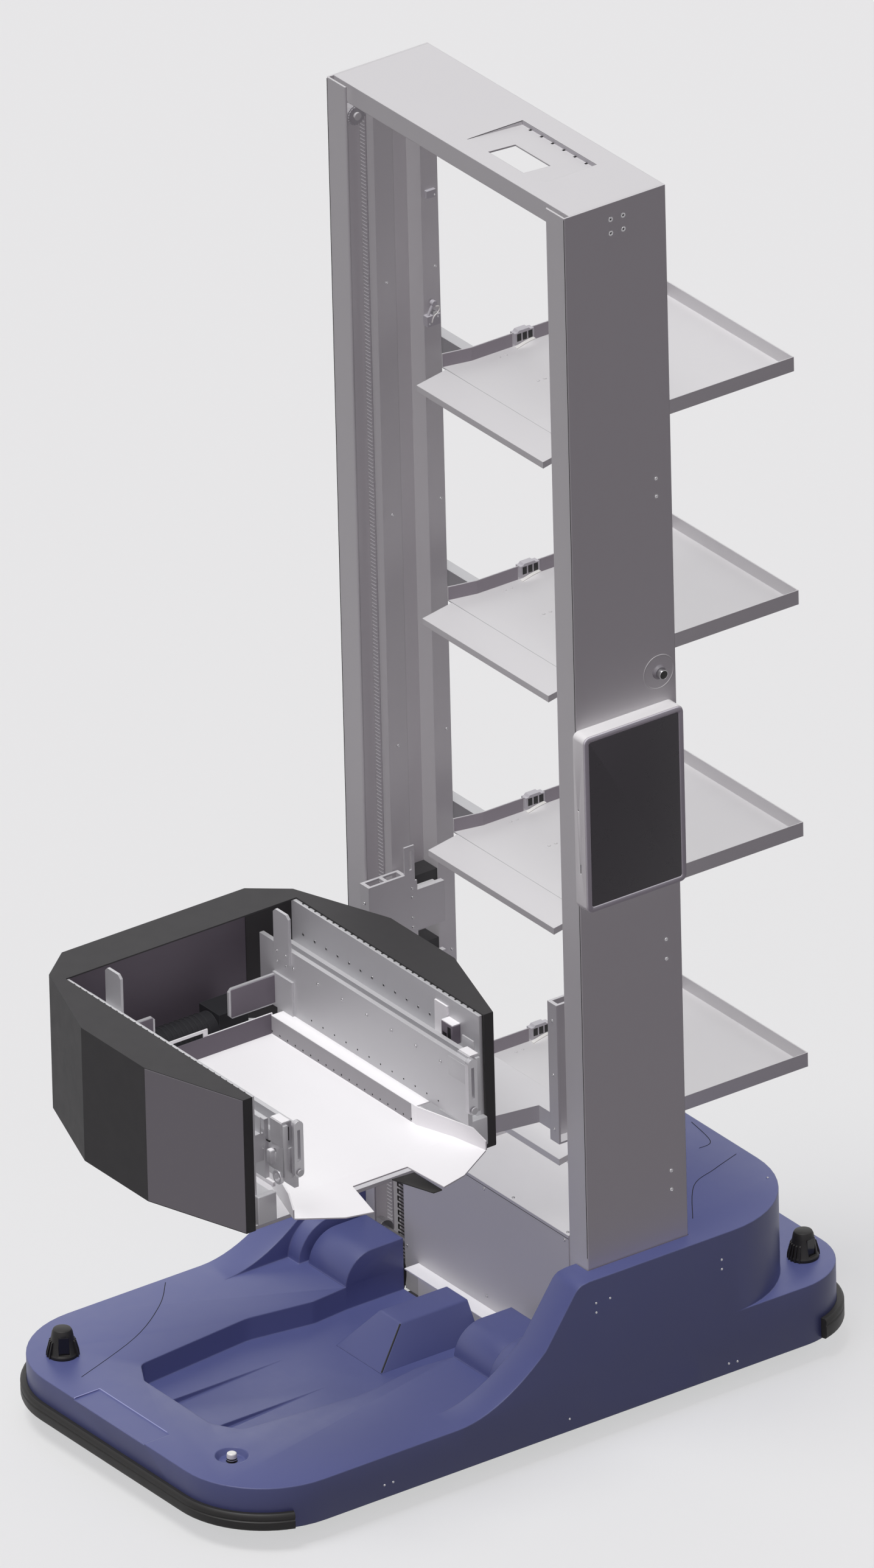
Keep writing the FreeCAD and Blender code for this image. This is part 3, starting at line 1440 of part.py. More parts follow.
def arm_inner(side):
    """Inner stage: plate with screw rows, rear pusher, upright tab, tip block and finger pin."""
    x0 = inner_inner
    x1 = x0 + stage_sheet
    plate = box(x0, x1, inner_front_y, inner_rear_y, inner_low, inner_top)
    pad = box(x1 - 1, x1 + inner_pad - fit_gap, inner_front_y + 60, inner_rear_y - 40,
              slide_rail_low + pad_edge, slide_rail_low + slide_rail_height - pad_edge)
    leg = box(x0 - pusher_sheet, x0 + 1, box_back_y - 42, box_back_y + 24, inner_low, pusher_low + pusher_height + 4)
    pusher = box(x0 - pusher_length, x0, box_back_y + 18, box_back_y + 24, pusher_low, pusher_low + pusher_height)
    corners = [e for e in pusher.Edges if abs(e.Vertexes[0].Y - e.Vertexes[-1].Y) > 1
               and e.Vertexes[0].X < x0 - pusher_length + 1]
    pusher = pusher.makeChamfer(7.0, corners)
    tab = box(x0 - pusher_sheet, x0 + 1, tab_y, tab_y + tab_width, inner_top - 30, tab_top)
    tops = [e for e in tab.Edges if abs(e.Vertexes[0].X - e.Vertexes[-1].X) > 1 and e.Vertexes[0].Z > tab_top - 1]
    tab = tab.makeChamfer(8.0, tops)
    actuator = box(x1 - 1, x1 + actuator_width, inner_front_y + 6, inner_front_y + 6 + actuator_length,
                   inner_top + 6 - actuator_height, inner_top + 6)
    pin_x = x0 + stage_sheet / 2
    pin = rod((pin_x, inner_front_y + 1, finger_axis_z), (pin_x, inner_front_y - finger_thickness - 3, finger_axis_z),
              finger_pin_radius)
    cap = rod((pin_x, inner_front_y - finger_thickness - 3, finger_axis_z),
              (pin_x, inner_front_y - finger_thickness - 6, finger_axis_z), finger_pin_radius + 3)
    return place_arm(fuse([plate, pad, leg, pusher, tab, actuator, pin, cap]), side)


def tip_finger(side):
    """Finger on the arm tip, upright at rest, with a long slot."""
    x = inner_inner + stage_sheet / 2
    half = finger_width / 2
    y1 = inner_front_y - 1
    y0 = y1 - finger_thickness
    z = finger_axis_z
    top = z + finger_length - half
    body = fuse([box(x - half, x + half, y0, y1, z, top), rod((x, y0, z), (x, y1, z), half),
                 rod((x, y0, top), (x, y1, top), half)])
    slot = box(x - 3.5, x + 3.5, y0 - 1, y1 + 1, z + 24, top - 8)
    bore = rod((x, y0 - 1, z), (x, y1 + 1, z), finger_pin_radius + running_gap)
    return place_arm(cut(body, [slot, bore]), side)


def extend_motor():
    """Motor and gearbox across the closed end of the fork that drive the arms."""
    low = arm_plate_low
    y = box_back_y + extend_motor_gap
    x0, x1 = extend_motor_x
    radius = extend_motor_radius
    foot = box(x0 + 60, x1 - 20, y - radius + 4, y + radius - 4, low, low + extend_foot)
    saddle = box(x0 + 70, x1 - 30, y - radius + 10, y + radius - 10, low + extend_foot - 2, low + extend_axis - 22)
    motor = rod((x0, y, low + extend_axis), (x1, y, low + extend_axis), radius)
    gearbox = box(x1 - 10, x1 + extend_gearbox, y - radius, y + radius, low, low + extend_axis + 40)
    return at_fork(fuse([foot, saddle, motor, gearbox]))


# Every piece, by name

def build():
    """Write every piece to its file."""
    os.makedirs("parts", exist_ok=True)
    save("chassis_frame", chassis_frame())
    save("base_cover", base_cover())
    save("sensor_hood", sensor_hood())
    save("sill_plate", sill_plate())
    save("front_bumper", bumper(True, front_bumper_reach, bumper_low, bumper_height, 1.0))
    save("rear_bumper", bumper(False, rear_bumper_reach, bumper_low, rear_bumper_height, rear_bumper_extra))
    save("scanner_front", scanner(scanner_front_xy, deck_top))
    save("scanner_rear", scanner(scanner_rear_xy, rear_deck_top))
    save("deck_button", deck_button())
    save("wheel_mounts", Part.makeCompound([wheel_mount(side) for side in SIDES.values()]))
    for name, side in SIDES.items():
        save("drive_wheel_" + name, drive_wheel(side))
    for name, x, y in caster_places():
        save("caster_yoke_" + name, caster_yoke(x, y))
        save("caster_wheel_" + name, caster_wheel(x, y))
    save("battery", battery())
    save("control_unit", control_unit())
    save("column_far", column(1))
    save("column_near", column_near())
    save("top_beam", top_beam())
    save("lift_belts", Part.makeCompound([lift_belt(side) for side in SIDES.values()]))
    for name, side in SIDES.items():
        save("idler_" + name, pulley(side * pulley_y, idler_z, shaft_radius + running_gap))
    save("drive_shaft", drive_shaft())
    save("cabinet", cabinet())
    save("cabinet_baffle", cabinet_baffle())
    save("lift_motor", lift_motor())
    save("cable_chain", cable_chain())
    save("limit_switches", Part.makeCompound(limit_switches()))
    for level in range(tray_count):
        save("storage_tray_%d" % (level + 1), storage_tray(level))
    save("tray_crossbars", Part.makeCompound([tray_crossbar(level) for level in range(tray_count)]))
    save("tray_sensors", Part.makeCompound([tray_sensor(level) for level in range(tray_count)]))
    save("tablet_case", tablet_case())
    save("tablet_screen", tablet_screen())
    save("button_bezel", button_bezel())
    save("column_button", column_button())
    save("carriage_frame", carriage_frame())
    shoes = [guide_shoe(side, z) for side in SIDES.values() for z in shoe_levels()]
    save("guide_shoes", Part.makeCompound(shoes))
    save("turn_ring", turn_ring())
    save("turn_motor", turn_motor())
    save("fork_base", fork_base())
    save("fork_shroud", fork_shroud())
    save("fork_tray", fork_tray())
    save("extend_motor", extend_motor())
    for name, side in SIDES.items():
        save("arm_plate_" + name, arm_plate(side))
        save("arm_mid_" + name, arm_mid(side))
        save("arm_inner_" + name, arm_inner(side))
        save("tip_finger_" + name, tip_finger(side))


build()
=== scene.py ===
import bpy
import bmesh
import math
from mathutils import Matrix, Vector


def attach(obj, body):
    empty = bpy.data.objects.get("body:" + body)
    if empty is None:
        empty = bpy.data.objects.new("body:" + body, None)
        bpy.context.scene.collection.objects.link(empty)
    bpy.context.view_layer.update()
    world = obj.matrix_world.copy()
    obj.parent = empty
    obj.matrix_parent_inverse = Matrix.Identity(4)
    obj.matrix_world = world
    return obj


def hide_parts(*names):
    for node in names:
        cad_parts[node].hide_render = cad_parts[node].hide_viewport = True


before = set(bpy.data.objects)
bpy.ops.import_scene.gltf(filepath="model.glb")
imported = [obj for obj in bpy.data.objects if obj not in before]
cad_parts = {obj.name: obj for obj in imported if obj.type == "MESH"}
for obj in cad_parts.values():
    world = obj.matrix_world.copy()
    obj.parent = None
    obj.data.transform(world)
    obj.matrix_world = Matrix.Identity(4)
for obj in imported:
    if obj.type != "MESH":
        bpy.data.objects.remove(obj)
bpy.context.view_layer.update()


# Studio. A pale floor that runs out to a white room, broad lamps high in front of the
# robot, of which the softest throws its shadow, and weak even light from all round. The
# camera looks down on the near front corner from far off, leaning a little.

scene = bpy.context.scene
scene.view_settings.view_transform = "Standard"
azimuth, elevation, lean = (math.radians(a) for a in (-35.08, 27.447, 1.427))
camera_distance = 77.68
level_right = Vector((math.cos(azimuth), math.sin(azimuth), 0))
to_camera = Vector((math.sin(azimuth) * math.cos(elevation),
                    -math.cos(azimuth) * math.cos(elevation), math.sin(elevation)))
level_up = to_camera.cross(level_right)
picture_right = level_right * math.cos(lean) - level_up * math.sin(lean)
picture_up = level_right * math.sin(lean) + level_up * math.cos(lean)
robot_middle = Vector((-0.010, 0, 1.2))
picture_middle = robot_middle + picture_right * 0.0452 + picture_up * 0.0937
camera = bpy.data.objects.new("camera", bpy.data.cameras.new("camera"))
camera.data.lens = 910.4
camera.data.clip_end = 300
camera.matrix_world = (Matrix.Translation(picture_middle + to_camera * camera_distance)
                       @ Matrix((picture_right, picture_up, to_camera)).transposed().to_4x4())
scene.collection.objects.link(camera)
scene.camera = camera


class Wire:
    """One output in a material. Arithmetic on wires adds Math nodes."""

    def __init__(self, tree, socket=None):
        self.tree = tree
        self.socket = socket

    def node(self, kind, settings, sockets, output=0):
        """Add a node of this kind, set it up, feed its sockets and give back one output."""
        added = self.tree.nodes.new("ShaderNode" + kind)
        for name, value in settings.items():
            setattr(added, name, value)
        for name, value in sockets.items():
            if isinstance(value, Wire):
                self.tree.links.new(value.socket, added.inputs[name])
            elif added.inputs[name].type == "RGBA":
                added.inputs[name].default_value = (*value, 1)
            else:
                added.inputs[name].default_value = value
        return Wire(self.tree, added.outputs[output])

    def math(self, operation, first, second):
        return self.node("Math", {"operation": operation}, {0: first, 1: second})

    def clamp(self):
        return self.node("Clamp", {}, {0: self})

    def between(self, low, high):
        """Colour that goes from low to high as this wire goes from nought to one."""
        return self.node("Mix", {"data_type": "RGBA"}, {0: self, 6: low, 7: high}, 2)

    def __add__(self, other):
        return self.math("ADD", self, other)

    __radd__ = __add__

    def __mul__(self, other):
        return self.math("MULTIPLY", self, other)

    __rmul__ = __mul__

    def __sub__(self, other):
        return self.math("SUBTRACT", self, other)

    def __rsub__(self, other):
        return self.math("SUBTRACT", other, self)


def linear(code):
    """Colour as seen on a screen, six hex digits, as light."""
    parts = [int(code[i:i + 2], 16) / 255 for i in (0, 2, 4)]
    return tuple(c / 12.92 if c <= 0.04045 else ((c + 0.055) / 1.055) ** 2.4 for c in parts)


def looked_at(wires):
    """One where the camera, a reflection or clear glass looks at the stage, else nought."""
    camera_ray, glossy_ray, clear_ray = [wires.node("LightPath", {}, {}, "Is %s Ray" % kind)
                                         for kind in ("Camera", "Glossy", "Transmission")]
    return (camera_ray + glossy_ray + clear_ray).clamp()


def stage_paint(name, seen, hidden):
    """Matt paint of the stage: one shade to look at, another as a reflector of light."""
    material = bpy.data.materials.new(name)
    material.use_nodes = True
    shade = looked_at(Wire(material.node_tree)).between(hidden, seen)
    principled = material.node_tree.nodes["Principled BSDF"]
    principled.inputs["Roughness"].default_value = 0.9
    principled.inputs["Specular IOR Level"].default_value = 0.1
    material.node_tree.links.new(shade.socket, principled.inputs["Base Color"])
    return material


floor_reach, floor_height = 90, -0.002
floor_mesh = bpy.data.meshes.new("floor")
floor_mesh.from_pydata([(x * floor_reach, y * floor_reach, floor_height)
                        for x, y in ((-1, -1), (1, -1), (1, 1), (-1, 1))], [], [(0, 1, 2, 3)])
floor_mesh.materials.append(stage_paint("pale_floor", linear("EFF0EF"), (0.06, 0.06, 0.06)))
floor = bpy.data.objects.new("floor", floor_mesh)
scene.collection.objects.link(floor)

for name, strength, spread, direction, shadow, tint in (
        ("high_lamp", 2.0, 14, (-0.235, 0, 0.972), False, (1, 1, 1)),
        ("soft_lamp", 0.5, 24, (-0.235, 0.1, 0.972), True, (1, 1, 1)),
        ("near_fill", 0.30, 60, (-0.68, -0.69, 0.25), False, (1, 0.85, 1)),
        ("back_fill", 0.30, 60, (0.60, 0.75, 0.25), False, (1, 1, 1))):
    lamp = bpy.data.objects.new(name, bpy.data.lights.new(name, "SUN"))
    lamp.data.energy = strength
    lamp.data.angle = math.radians(spread)
    lamp.data.use_shadow = shadow
    lamp.data.color = tint
    lamp.rotation_euler = Vector(direction).to_track_quat("Z", "Y").to_euler()
    scene.collection.objects.link(lamp)

world = bpy.data.worlds.new("room")
scene.world = world
world.use_nodes = True
room_shade = looked_at(Wire(world.node_tree)).between((0.098, 0.086, 0.102), linear("F2F2F3"))
world.node_tree.links.new(room_shade.socket, world.node_tree.nodes["Background"].inputs["Color"])


# Welded chassis frame. Laser-cut steel plate and square tube, welded, bent and painted in
# a black textured powder. It shows only from below and through the gaps round the wheels.

def finish(name, code, roughness, metallic=0.0, wear_and_sheen_colour=None, wear_and_sheen_amount=0.35, drift=0.05, grain=700.0,
           grain_depth=0.00002, brushed=None, edge=0.0012, specular=0.5):
    """Finish with slow colour drift, fine grain in height and gloss, and lighter edges
    that stand for rubbed wear and also paint a highlight along them.

    The grain counts bumps in a metre; brushed gives its fineness along x, y and z instead.
    """
    colour = linear(code)
    material = bpy.data.materials.new(name)
    material.use_nodes = True
    wires = Wire(material.node_tree)
    place = wires.node("TexCoord", {}, {}, "Object")
    cloud = wires.node("TexNoise", {}, {"Vector": place, "Scale": 3.1, "Detail": 3.0})
    mottle = wires.node("TexNoise", {}, {"Vector": place, "Scale": 31.0, "Detail": 4.0})
    if brushed:
        stretched = wires.node("Mapping", {}, {"Vector": place, "Scale": brushed})
        fine = wires.node("TexNoise", {}, {"Vector": stretched, "Scale": 1.0, "Detail": 3.0})
    else:
        fine = wires.node("TexNoise", {}, {"Vector": place, "Scale": grain, "Detail": 2.0})
    rounded_normal = wires.node("Bevel", {"samples": 4}, {"Radius": edge})
    flat_normal = wires.node("NewGeometry", {}, {}, "Normal")
    flatness = wires.node("VectorMath", {"operation": "DOT_PRODUCT"}, {0: rounded_normal, 1: flat_normal},
                          "Value")
    # Edge mask: lighter edges for rubbed wear and a painted highlight along the edges.
    rubbed_and_sheen = ((1 - flatness) * 5.0 * (mottle + 0.35)).clamp() * wear_and_sheen_amount
    dark = tuple(c * (1 - drift) for c in colour)
    light = tuple(min(1, c * (1 + drift)) for c in colour)
    base = (cloud * 0.65 + mottle * 0.2 + fine * 0.15).clamp().between(dark, light)
    edge_wear_and_sheen = linear(wear_and_sheen_colour) if wear_and_sheen_colour else tuple(min(1, c * 1.5 + 0.03) for c in colour)
    gloss = roughness + (mottle - 0.5) * 0.12 + (fine - 0.5) * 0.1 + rubbed_and_sheen * 0.1
    relief = wires.node("Bump", {}, {"Strength": 0.5, "Distance": grain_depth, "Height": fine,
                                     "Normal": rounded_normal})
    principled = material.node_tree.nodes["Principled BSDF"]
    for socket, value in (("Base Color", rubbed_and_sheen.between(base, edge_wear_and_sheen)), ("Roughness", gloss.clamp()),
                          ("Normal", relief)):
        material.node_tree.links.new(value.socket, principled.inputs[socket])
    principled.inputs["Metallic"].default_value = metallic
    principled.inputs["Specular IOR Level"].default_value = specular
    return material


def dress(material, *nodes):
    """Give CAD nodes this finish."""
    for name in nodes:
        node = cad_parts[name]
        node.data.materials.clear()
        node.data.materials.append(material)


chassis_powder = finish("chassis_powder", "2C2B2E", 0.62, grain=1500, grain_depth=0.00008)
dress(chassis_powder, "chassis_frame", "wheel_mounts")


# Base cover. One large thermoformed shell in blue grained plastic: flat decks, a recessed
# floor with two flutes, wheel humps, sweeping side walls and the raised housing behind the
# mast. It drops over the frame and is held by small screws low on its sides.

millimetre = 0.001
both_sides = (("far", 1), ("near", -1))
cover_front, cover_rear, cover_side = -763, 743, 435
front_deck, back_deck, housing_top = 131, 170, 354
well_floor, above_cover = 81, 360
front_corner, rear_corner, housing_corner = 195, 140, 215
housing_front, housing_rear, back_deck_front = 290, 644, 400
cover_foot, plastic_wall = 40, 4
scanner_hole, button_hole = 27, 11.5
front_scanner, rear_scanner = (-675, 300), (672, -330)
button_dish = (-655, -245)


def rounded(corners):
    """Outline through (a, b, radius) corners, with an arc where the radius isn't nought."""
    points = []
    for index, (a, b, radius) in enumerate(corners):
        if radius == 0:
            points.append((a, b))
            continue
        here = Vector((a, b))
        before = (Vector(corners[index - 1][:2]) - here).normalized()
        after = (Vector(corners[(index + 1) % len(corners)][:2]) - here).normalized()
        half = before.angle(after) / 2
        centre = here + (before + after).normalized() * radius / math.sin(half)
        start = here + before * radius / math.tan(half) - centre
        end = here + after * radius / math.tan(half) - centre
        first = math.atan2(start.y, start.x)
        sweep = (math.atan2(end.y, end.x) - first + math.pi) % (2 * math.pi) - math.pi
        count = max(3, round(abs(sweep) / math.radians(7)))
        for step in range(count + 1):
            angle = first + sweep * step / count
            points.append((centre.x + radius * math.cos(angle), centre.y + radius * math.sin(angle)))
    return points


def faced_out(form):
    """Turn every face of a closed form to the outside."""
    bmesh.ops.recalc_face_normals(form, faces=form.faces)
    if form.calc_volume(signed=True) < 0:
        bmesh.ops.reverse_faces(form, faces=form.faces)
    return form


def skinned(rings, capped=True):
    """Closed form over rings of (x, y, height) corners, every ring with as many."""
    form = bmesh.new()
    rows = [[form.verts.new(corner) for corner in ring] for ring in rings]
    if capped:
        form.faces.new(rows[0])
        form.faces.new(rows[-1])
    else:
        rows.append(rows[0])
    for lower, upper in zip(rows, rows[1:]):
        for index in range(len(lower)):
            after = (index + 1) % len(lower)
            form.faces.new((lower[index], lower[after], upper[after], upper[index]))
    return faced_out(form)


def tapered(*levels):
    """Closed form through (height, outline) levels, every outline with as many corners."""
    return skinned([[(x, y, height) for x, y in outline] for height, outline in levels])


def lay(form, along):
    """Turn a form drawn about the height axis to run along x or y, its outline kept in order."""
    if along != "z":
        for corner in form.verts:
            a, b, c = corner.co
            corner.co = (a, c, b) if along == "y" else (c, a, b)
    return faced_out(form)


def prism(outline, low, high, along="z"):
    """Bar over an outline drawn square to the axis it runs along, in millimetres."""
    return lay(tapered((low, outline), (high, outline)), along)


def slab(x0, x1, y0, y1):
    return [(x0, y0), (x1, y0), (x1, y1), (x0, y1)]


def block(x0, x1, y0, y1, z0, z1):
    return prism(slab(x0, x1, y0, y1), z0, z1)


def turned(middle, *levels, along="z", sides=40):
    """Round form about an axis through a point square to it, from (height, radius) levels."""
    spokes = [(math.cos(2 * math.pi * k / sides), math.sin(2 * math.pi * k / sides)) for k in range(sides)]
    outlines = [(height, [(middle[0] + radius * c, middle[1] + radius * s) for c, s in spokes])
                for height, radius in levels]
    return lay(tapered(*outlines), along)


def rod(middle, radius, low, high, along="z", sides=32):
    return turned(middle, (low, radius), (high, radius), along=along, sides=sides)


def merge(*forms):
    """Several closed forms in one mesh."""
    whole = bmesh.new()
    for form in forms:
        part = bpy.data.meshes.new("part")
        form.to_mesh(part)
        whole.from_mesh(part)
        bpy.data.meshes.remove(part)
    return whole


def moved(form, matrix):
    bmesh.ops.transform(form, matrix=matrix, verts=form.verts)
    return form


def mirror(form):
    """The same form on the other side of the robot's middle."""
    other = form.copy()
    bmesh.ops.scale(other, vec=(1, -1, 1), verts=other.verts)
    bmesh.ops.reverse_faces(other, faces=other.faces)
    return other


def made(name, form):
    """Mesh object from a form in millimetres."""
    mesh = bpy.data.meshes.new(name)
    bmesh.ops.scale(form, vec=(millimetre, millimetre, millimetre), verts=form.verts)
    form.to_mesh(mesh)
    form.free()
    piece = bpy.data.objects.new(name, mesh)
    scene.collection.objects.link(piece)
    return piece


def settle(piece):
    """Keep the shape that the modifiers give, and drop them."""
    bpy.context.view_layer.update()
    shaped = bpy.data.meshes.new_from_object(piece.evaluated_get(bpy.context.evaluated_depsgraph_get()))
    piece.modifiers.clear()
    piece.data = shaped
    return piece


def combine(piece, tool, operation):
    """Add a tool object to a piece or take it away, and drop the tool."""
    change = piece.modifiers.new("change", "BOOLEAN")
    change.operation = operation
    change.solver = "EXACT"
    change.object = tool
    settle(piece)
    bpy.data.objects.remove(tool)


def join_on(piece, *forms):
    """Weld forms to a piece, one after the other."""
    for form in forms:
        combine(piece, made("tool", form), "UNION")
    return piece


def cut_away(piece, *forms):
    """Take forms away from a piece, one after the other."""
    for form in forms:
        combine(piece, made("tool", form), "DIFFERENCE")
    return piece


def soften(piece, width, segments=2, angle=40, chosen=None):
    """Round the edges of a piece that are sharper than the angle, or only those chosen."""
    round_edges = piece.modifiers.new("round", "BEVEL")
    round_edges.width = width * millimetre
    round_edges.segments = segments
    round_edges.use_clamp_overlap = True
    if chosen is None:
        round_edges.limit_method = "ANGLE"
        round_edges.angle_limit = math.radians(angle)
        return settle(piece)
    round_edges.limit_method = "WEIGHT"
    form = bmesh.new()
    form.from_mesh(piece.data)
    weight = form.edges.layers.float.new("bevel_weight_edge")
    for edge in form.edges:
        if len(edge.link_faces) == 2 and edge.calc_face_angle() > math.radians(angle) and chosen(edge):
            edge[weight] = 1.0
    form.to_mesh(piece.data)
    form.free()
    return settle(piece)


def fit(piece, material, body, slot, *nodes):
    """Shade and paint a piece, hang it on its body and let it stand for these CAD nodes."""
    piece.data.materials.clear()
    piece.data.materials.append(material)
    for polygon in piece.data.polygons:
        polygon.use_smooth = True
        polygon.material_index = 0
    piece.data.set_sharp_from_angle(angle=math.radians(33))
    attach(piece, body)
    if nodes:
        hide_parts(*nodes)
    return piece


def outer_rim(edge):
    """Whether an edge lies where an outer wall of the cover meets a top face."""
    wall, top = sorted(edge.link_faces, key=lambda face: abs(face.normal.z))
    middle = wall.calc_center_median()
    outward = wall.normal.x * (middle.x + 0.01) + wall.normal.y * middle.y
    return top.normal.z > 0.3 and outward > 0 and (abs(middle.y) > 0.4 or middle.x < -0.6 or middle.x > 0.5)


def sweeping_wall(wall, foot):
    """Side wall that sweeps up from the deck to the housing, with a rounded brow."""
    start, deck, top = -245 + wall, front_deck - wall, housing_top - wall
    run, rise, steepness, steps = 215, 104, 1.9, 12
    outline = [(start, foot), (start, deck)]
    for step in range(1, steps + 1):
        share = step / steps
        outline.append((start + run * share, deck + rise * share ** steepness))
    outline += [(x + wall, top - drop) for x, drop in ((44, 14), (50, 8), (58, 3), (78, 0))]
    return prism(outline + [(350, top), (350, foot)], 357 + wall, cover_side - wall, "y")


def wheel_humps(wall, foot):
    """Hump over a drive wheel; outside it has three bands, the middle one standing proud."""
    bands = [(-74 + wall, 195 - wall, 183 + wall, 309 - wall)]
    if wall == 0:
        bands += [(-90, 211, 320, 365), (-58, 179, 289, 340)]
    humps = []
    for toe, crown, y0, y1 in bands:
        rise = crown - 127
        arc = [(toe + rise * (1 - math.cos(a)), crown - rise * (1 - math.sin(a)))
               for a in (math.radians(d) for d in range(0, 91, 9))]
        humps.append(prism(arc + [(67, crown), (67, foot), (toe, foot)], y0, y1, "y"))
    return humps


def cover_solid(name, wall, foot):
    """The cover's outer form, or the hollow under it for a wall of the given thickness."""
    x0, x1, side = cover_front + wall, cover_rear - wall, cover_side - wall
    front, rear, house = front_corner - wall, rear_corner - wall, housing_corner - wall
    solid = made(name, prism(rounded([(x0, -side, front), (x1, -side, rear), (x1, side, rear),
                                      (x0, side, front)]), foot, front_deck - wall))
    back = prism(rounded([(back_deck_front, -side, 0), (x1, -side, rear), (x1, side, rear),
                          (back_deck_front, side, 0)]), foot, back_deck - wall)
    x0, x1 = housing_front + wall, housing_rear - wall
    housing = prism(rounded([(x0, -side, 0), (x1, -side, house), (x1, side, house), (x0, side, 0)]),
                    foot, housing_top - wall)
    join_on(solid, back, housing)
    for form in [sweeping_wall(wall, foot)] + wheel_humps(wall, foot):
        join_on(solid, form, mirror(form))
    if wall == 0:
        soften(solid, 12, 4, 60, outer_rim)
    well_bottom = well_floor if wall == 0 else well_floor - 14
    half_line = [(-612 - wall, 112, 14), (-578 - wall, 172 + wall, 26), (-302, 199 + wall, 120),
                 (-158, 175 + wall, 60), (-74, 183 + wall, 20), (160, 183 + wall, 0)]
    well = rounded(half_line + [(x, -y, r) for x, y, r in reversed(half_line)])
    return cut_away(solid, prism(well, well_bottom, 300))


base_cover = cover_solid("base_cover_shell", 0, cover_foot)
flute = bmesh.new()
corners = [flute.verts.new(p) for p in ((-572, 54, 83), (-572, 90, 83), (-250, 91, 83), (-556, 89, 69))]
for corner_indices in ((0, 1, 2), (0, 3, 1), (1, 3, 2), (2, 3, 0)):
    flute.faces.new([corners[k] for k in corner_indices])
near_flute = moved(faced_out(flute).copy(), Matrix.Translation((0, -144, 0)))
cut_away(base_cover, flute, near_flute)
soften(base_cover, 3, angle=45)
lamp_step = [(-770, 140), (-770, 128), (-703, 129), (-700, 132), (-700, 140)]
cut_away(base_cover, prism(lamp_step, -100, 140, "y"))
hollow = cut_away(cover_solid("hollow", plastic_wall, cover_foot - 10),
                  turned(button_dish, (114.9, 30), (140, 40)))
combine(base_cover, hollow, "DIFFERENCE")
mast_slot = block(102, 348, 331, 397, 0, above_cover)
cut_away(base_cover, block(67, 290.5, -356.9, 356.9, 0, above_cover), mast_slot, mirror(mast_slot),
         rod(front_scanner, scanner_hole, 60, 200), rod(rear_scanner, scanner_hole, 60, 200),
         turned(button_dish, (118.9, 26), (131.5, 34)), rod(button_dish, button_hole, 100, 132))
# The cover's pale blue edge colour and strong edge share are wear and also a painted highlight along its
# rounded rims and hump edges.
cover_moulding = finish("cover_moulding", "555B8C", 0.42, wear_and_sheen_colour="8286B4", wear_and_sheen_amount=0.5, grain=1900,
                        grain_depth=0.00003, edge=0.004)
fit(base_cover, cover_moulding, "base", "cover_plastic", "base_cover")


def flow(points):
    """Even curve through points, for a drawn line."""
    steps = 6
    line = []
    for k in range(len(points) - 1):
        a, b, c, d = (Vector(points[min(max(j, 0), len(points) - 1)]) for j in (k - 1, k, k + 1, k + 2))
        for step in range(steps):
            t = step / steps
            line.append(0.5 * (2 * b + (c - a) * t + (2 * a - 5 * b + 4 * c - d) * t * t
                               + (3 * b - a - 3 * c + d) * t ** 3))
    return line + [Vector(points[-1])]


def cord(name, path, radius, material, body):
    """Thin round strand through points in millimetres."""
    curve = bpy.data.curves.new(name, "CURVE")
    curve.dimensions = "3D"
    curve.bevel_depth = radius * millimetre
    curve.bevel_resolution = 3
    curve.use_fill_caps = True
    line = curve.splines.new("POLY")
    line.points.add(len(path) - 1)
    for point, place in zip(line.points, path):
        point.co = (*(c * millimetre for c in place), 1)
    strand = bpy.data.objects.new(name, curve)
    scene.collection.objects.link(strand)
    curve.materials.append(material)
    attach(strand, body)
    return strand


def fit_many(name, forms, material, body, slot):
    """Several forms as one piece."""
    return fit(made(name, merge(*forms)), material, body, slot)


def studs(name, places, facing, levels, material, body, slot, sides=16):
    """Many like turned heads in one piece, set at points and looking one way."""
    turn = Vector(facing).to_track_quat("Z", "Y").to_matrix().to_4x4()
    heads = [moved(turned((0, 0), *levels, sides=sides), Matrix.Translation(place) @ turn)
             for place in places]
    return fit_many(name, heads, material, body, slot)


bright_steel = finish("bright_steel", "B4B3B5", 0.3, 0.9, wear_and_sheen_colour="DAD9DB", grain_depth=0.00001)
dark_gap = finish("dark_gap", "1F1E20", 0.7, wear_and_sheen_amount=0.1, specular=0.2)


def screws(name, places, facing, radius, body, slot):
    """Bright pan heads with a driver recess, all looking one way."""
    pan_head = [(-0.1, radius)] + [(radius * height, radius * share)
                                   for height, share in ((0.3, 0.96), (0.55, 0.7), (0.58, 0.42), (0.2, 0.36))]
    return studs(name, places, facing, pan_head, bright_steel, body, slot)


seams = (("deck_seam", ((-342, 420), (-407, 349), (-522, 270), (-700, 201)), 130.7),
         ("lid_seam", ((620, -181), (548, -206), (476, -237), (393, -347)), 353.7),
         ("lid_seam_rear", ((577, -116), (612, -106), (630, -18)), 353.7))
for name, points, z in seams:
    cord(name, flow([(x, y, z) for x, y in points]), 0.9, dark_gap, "base")
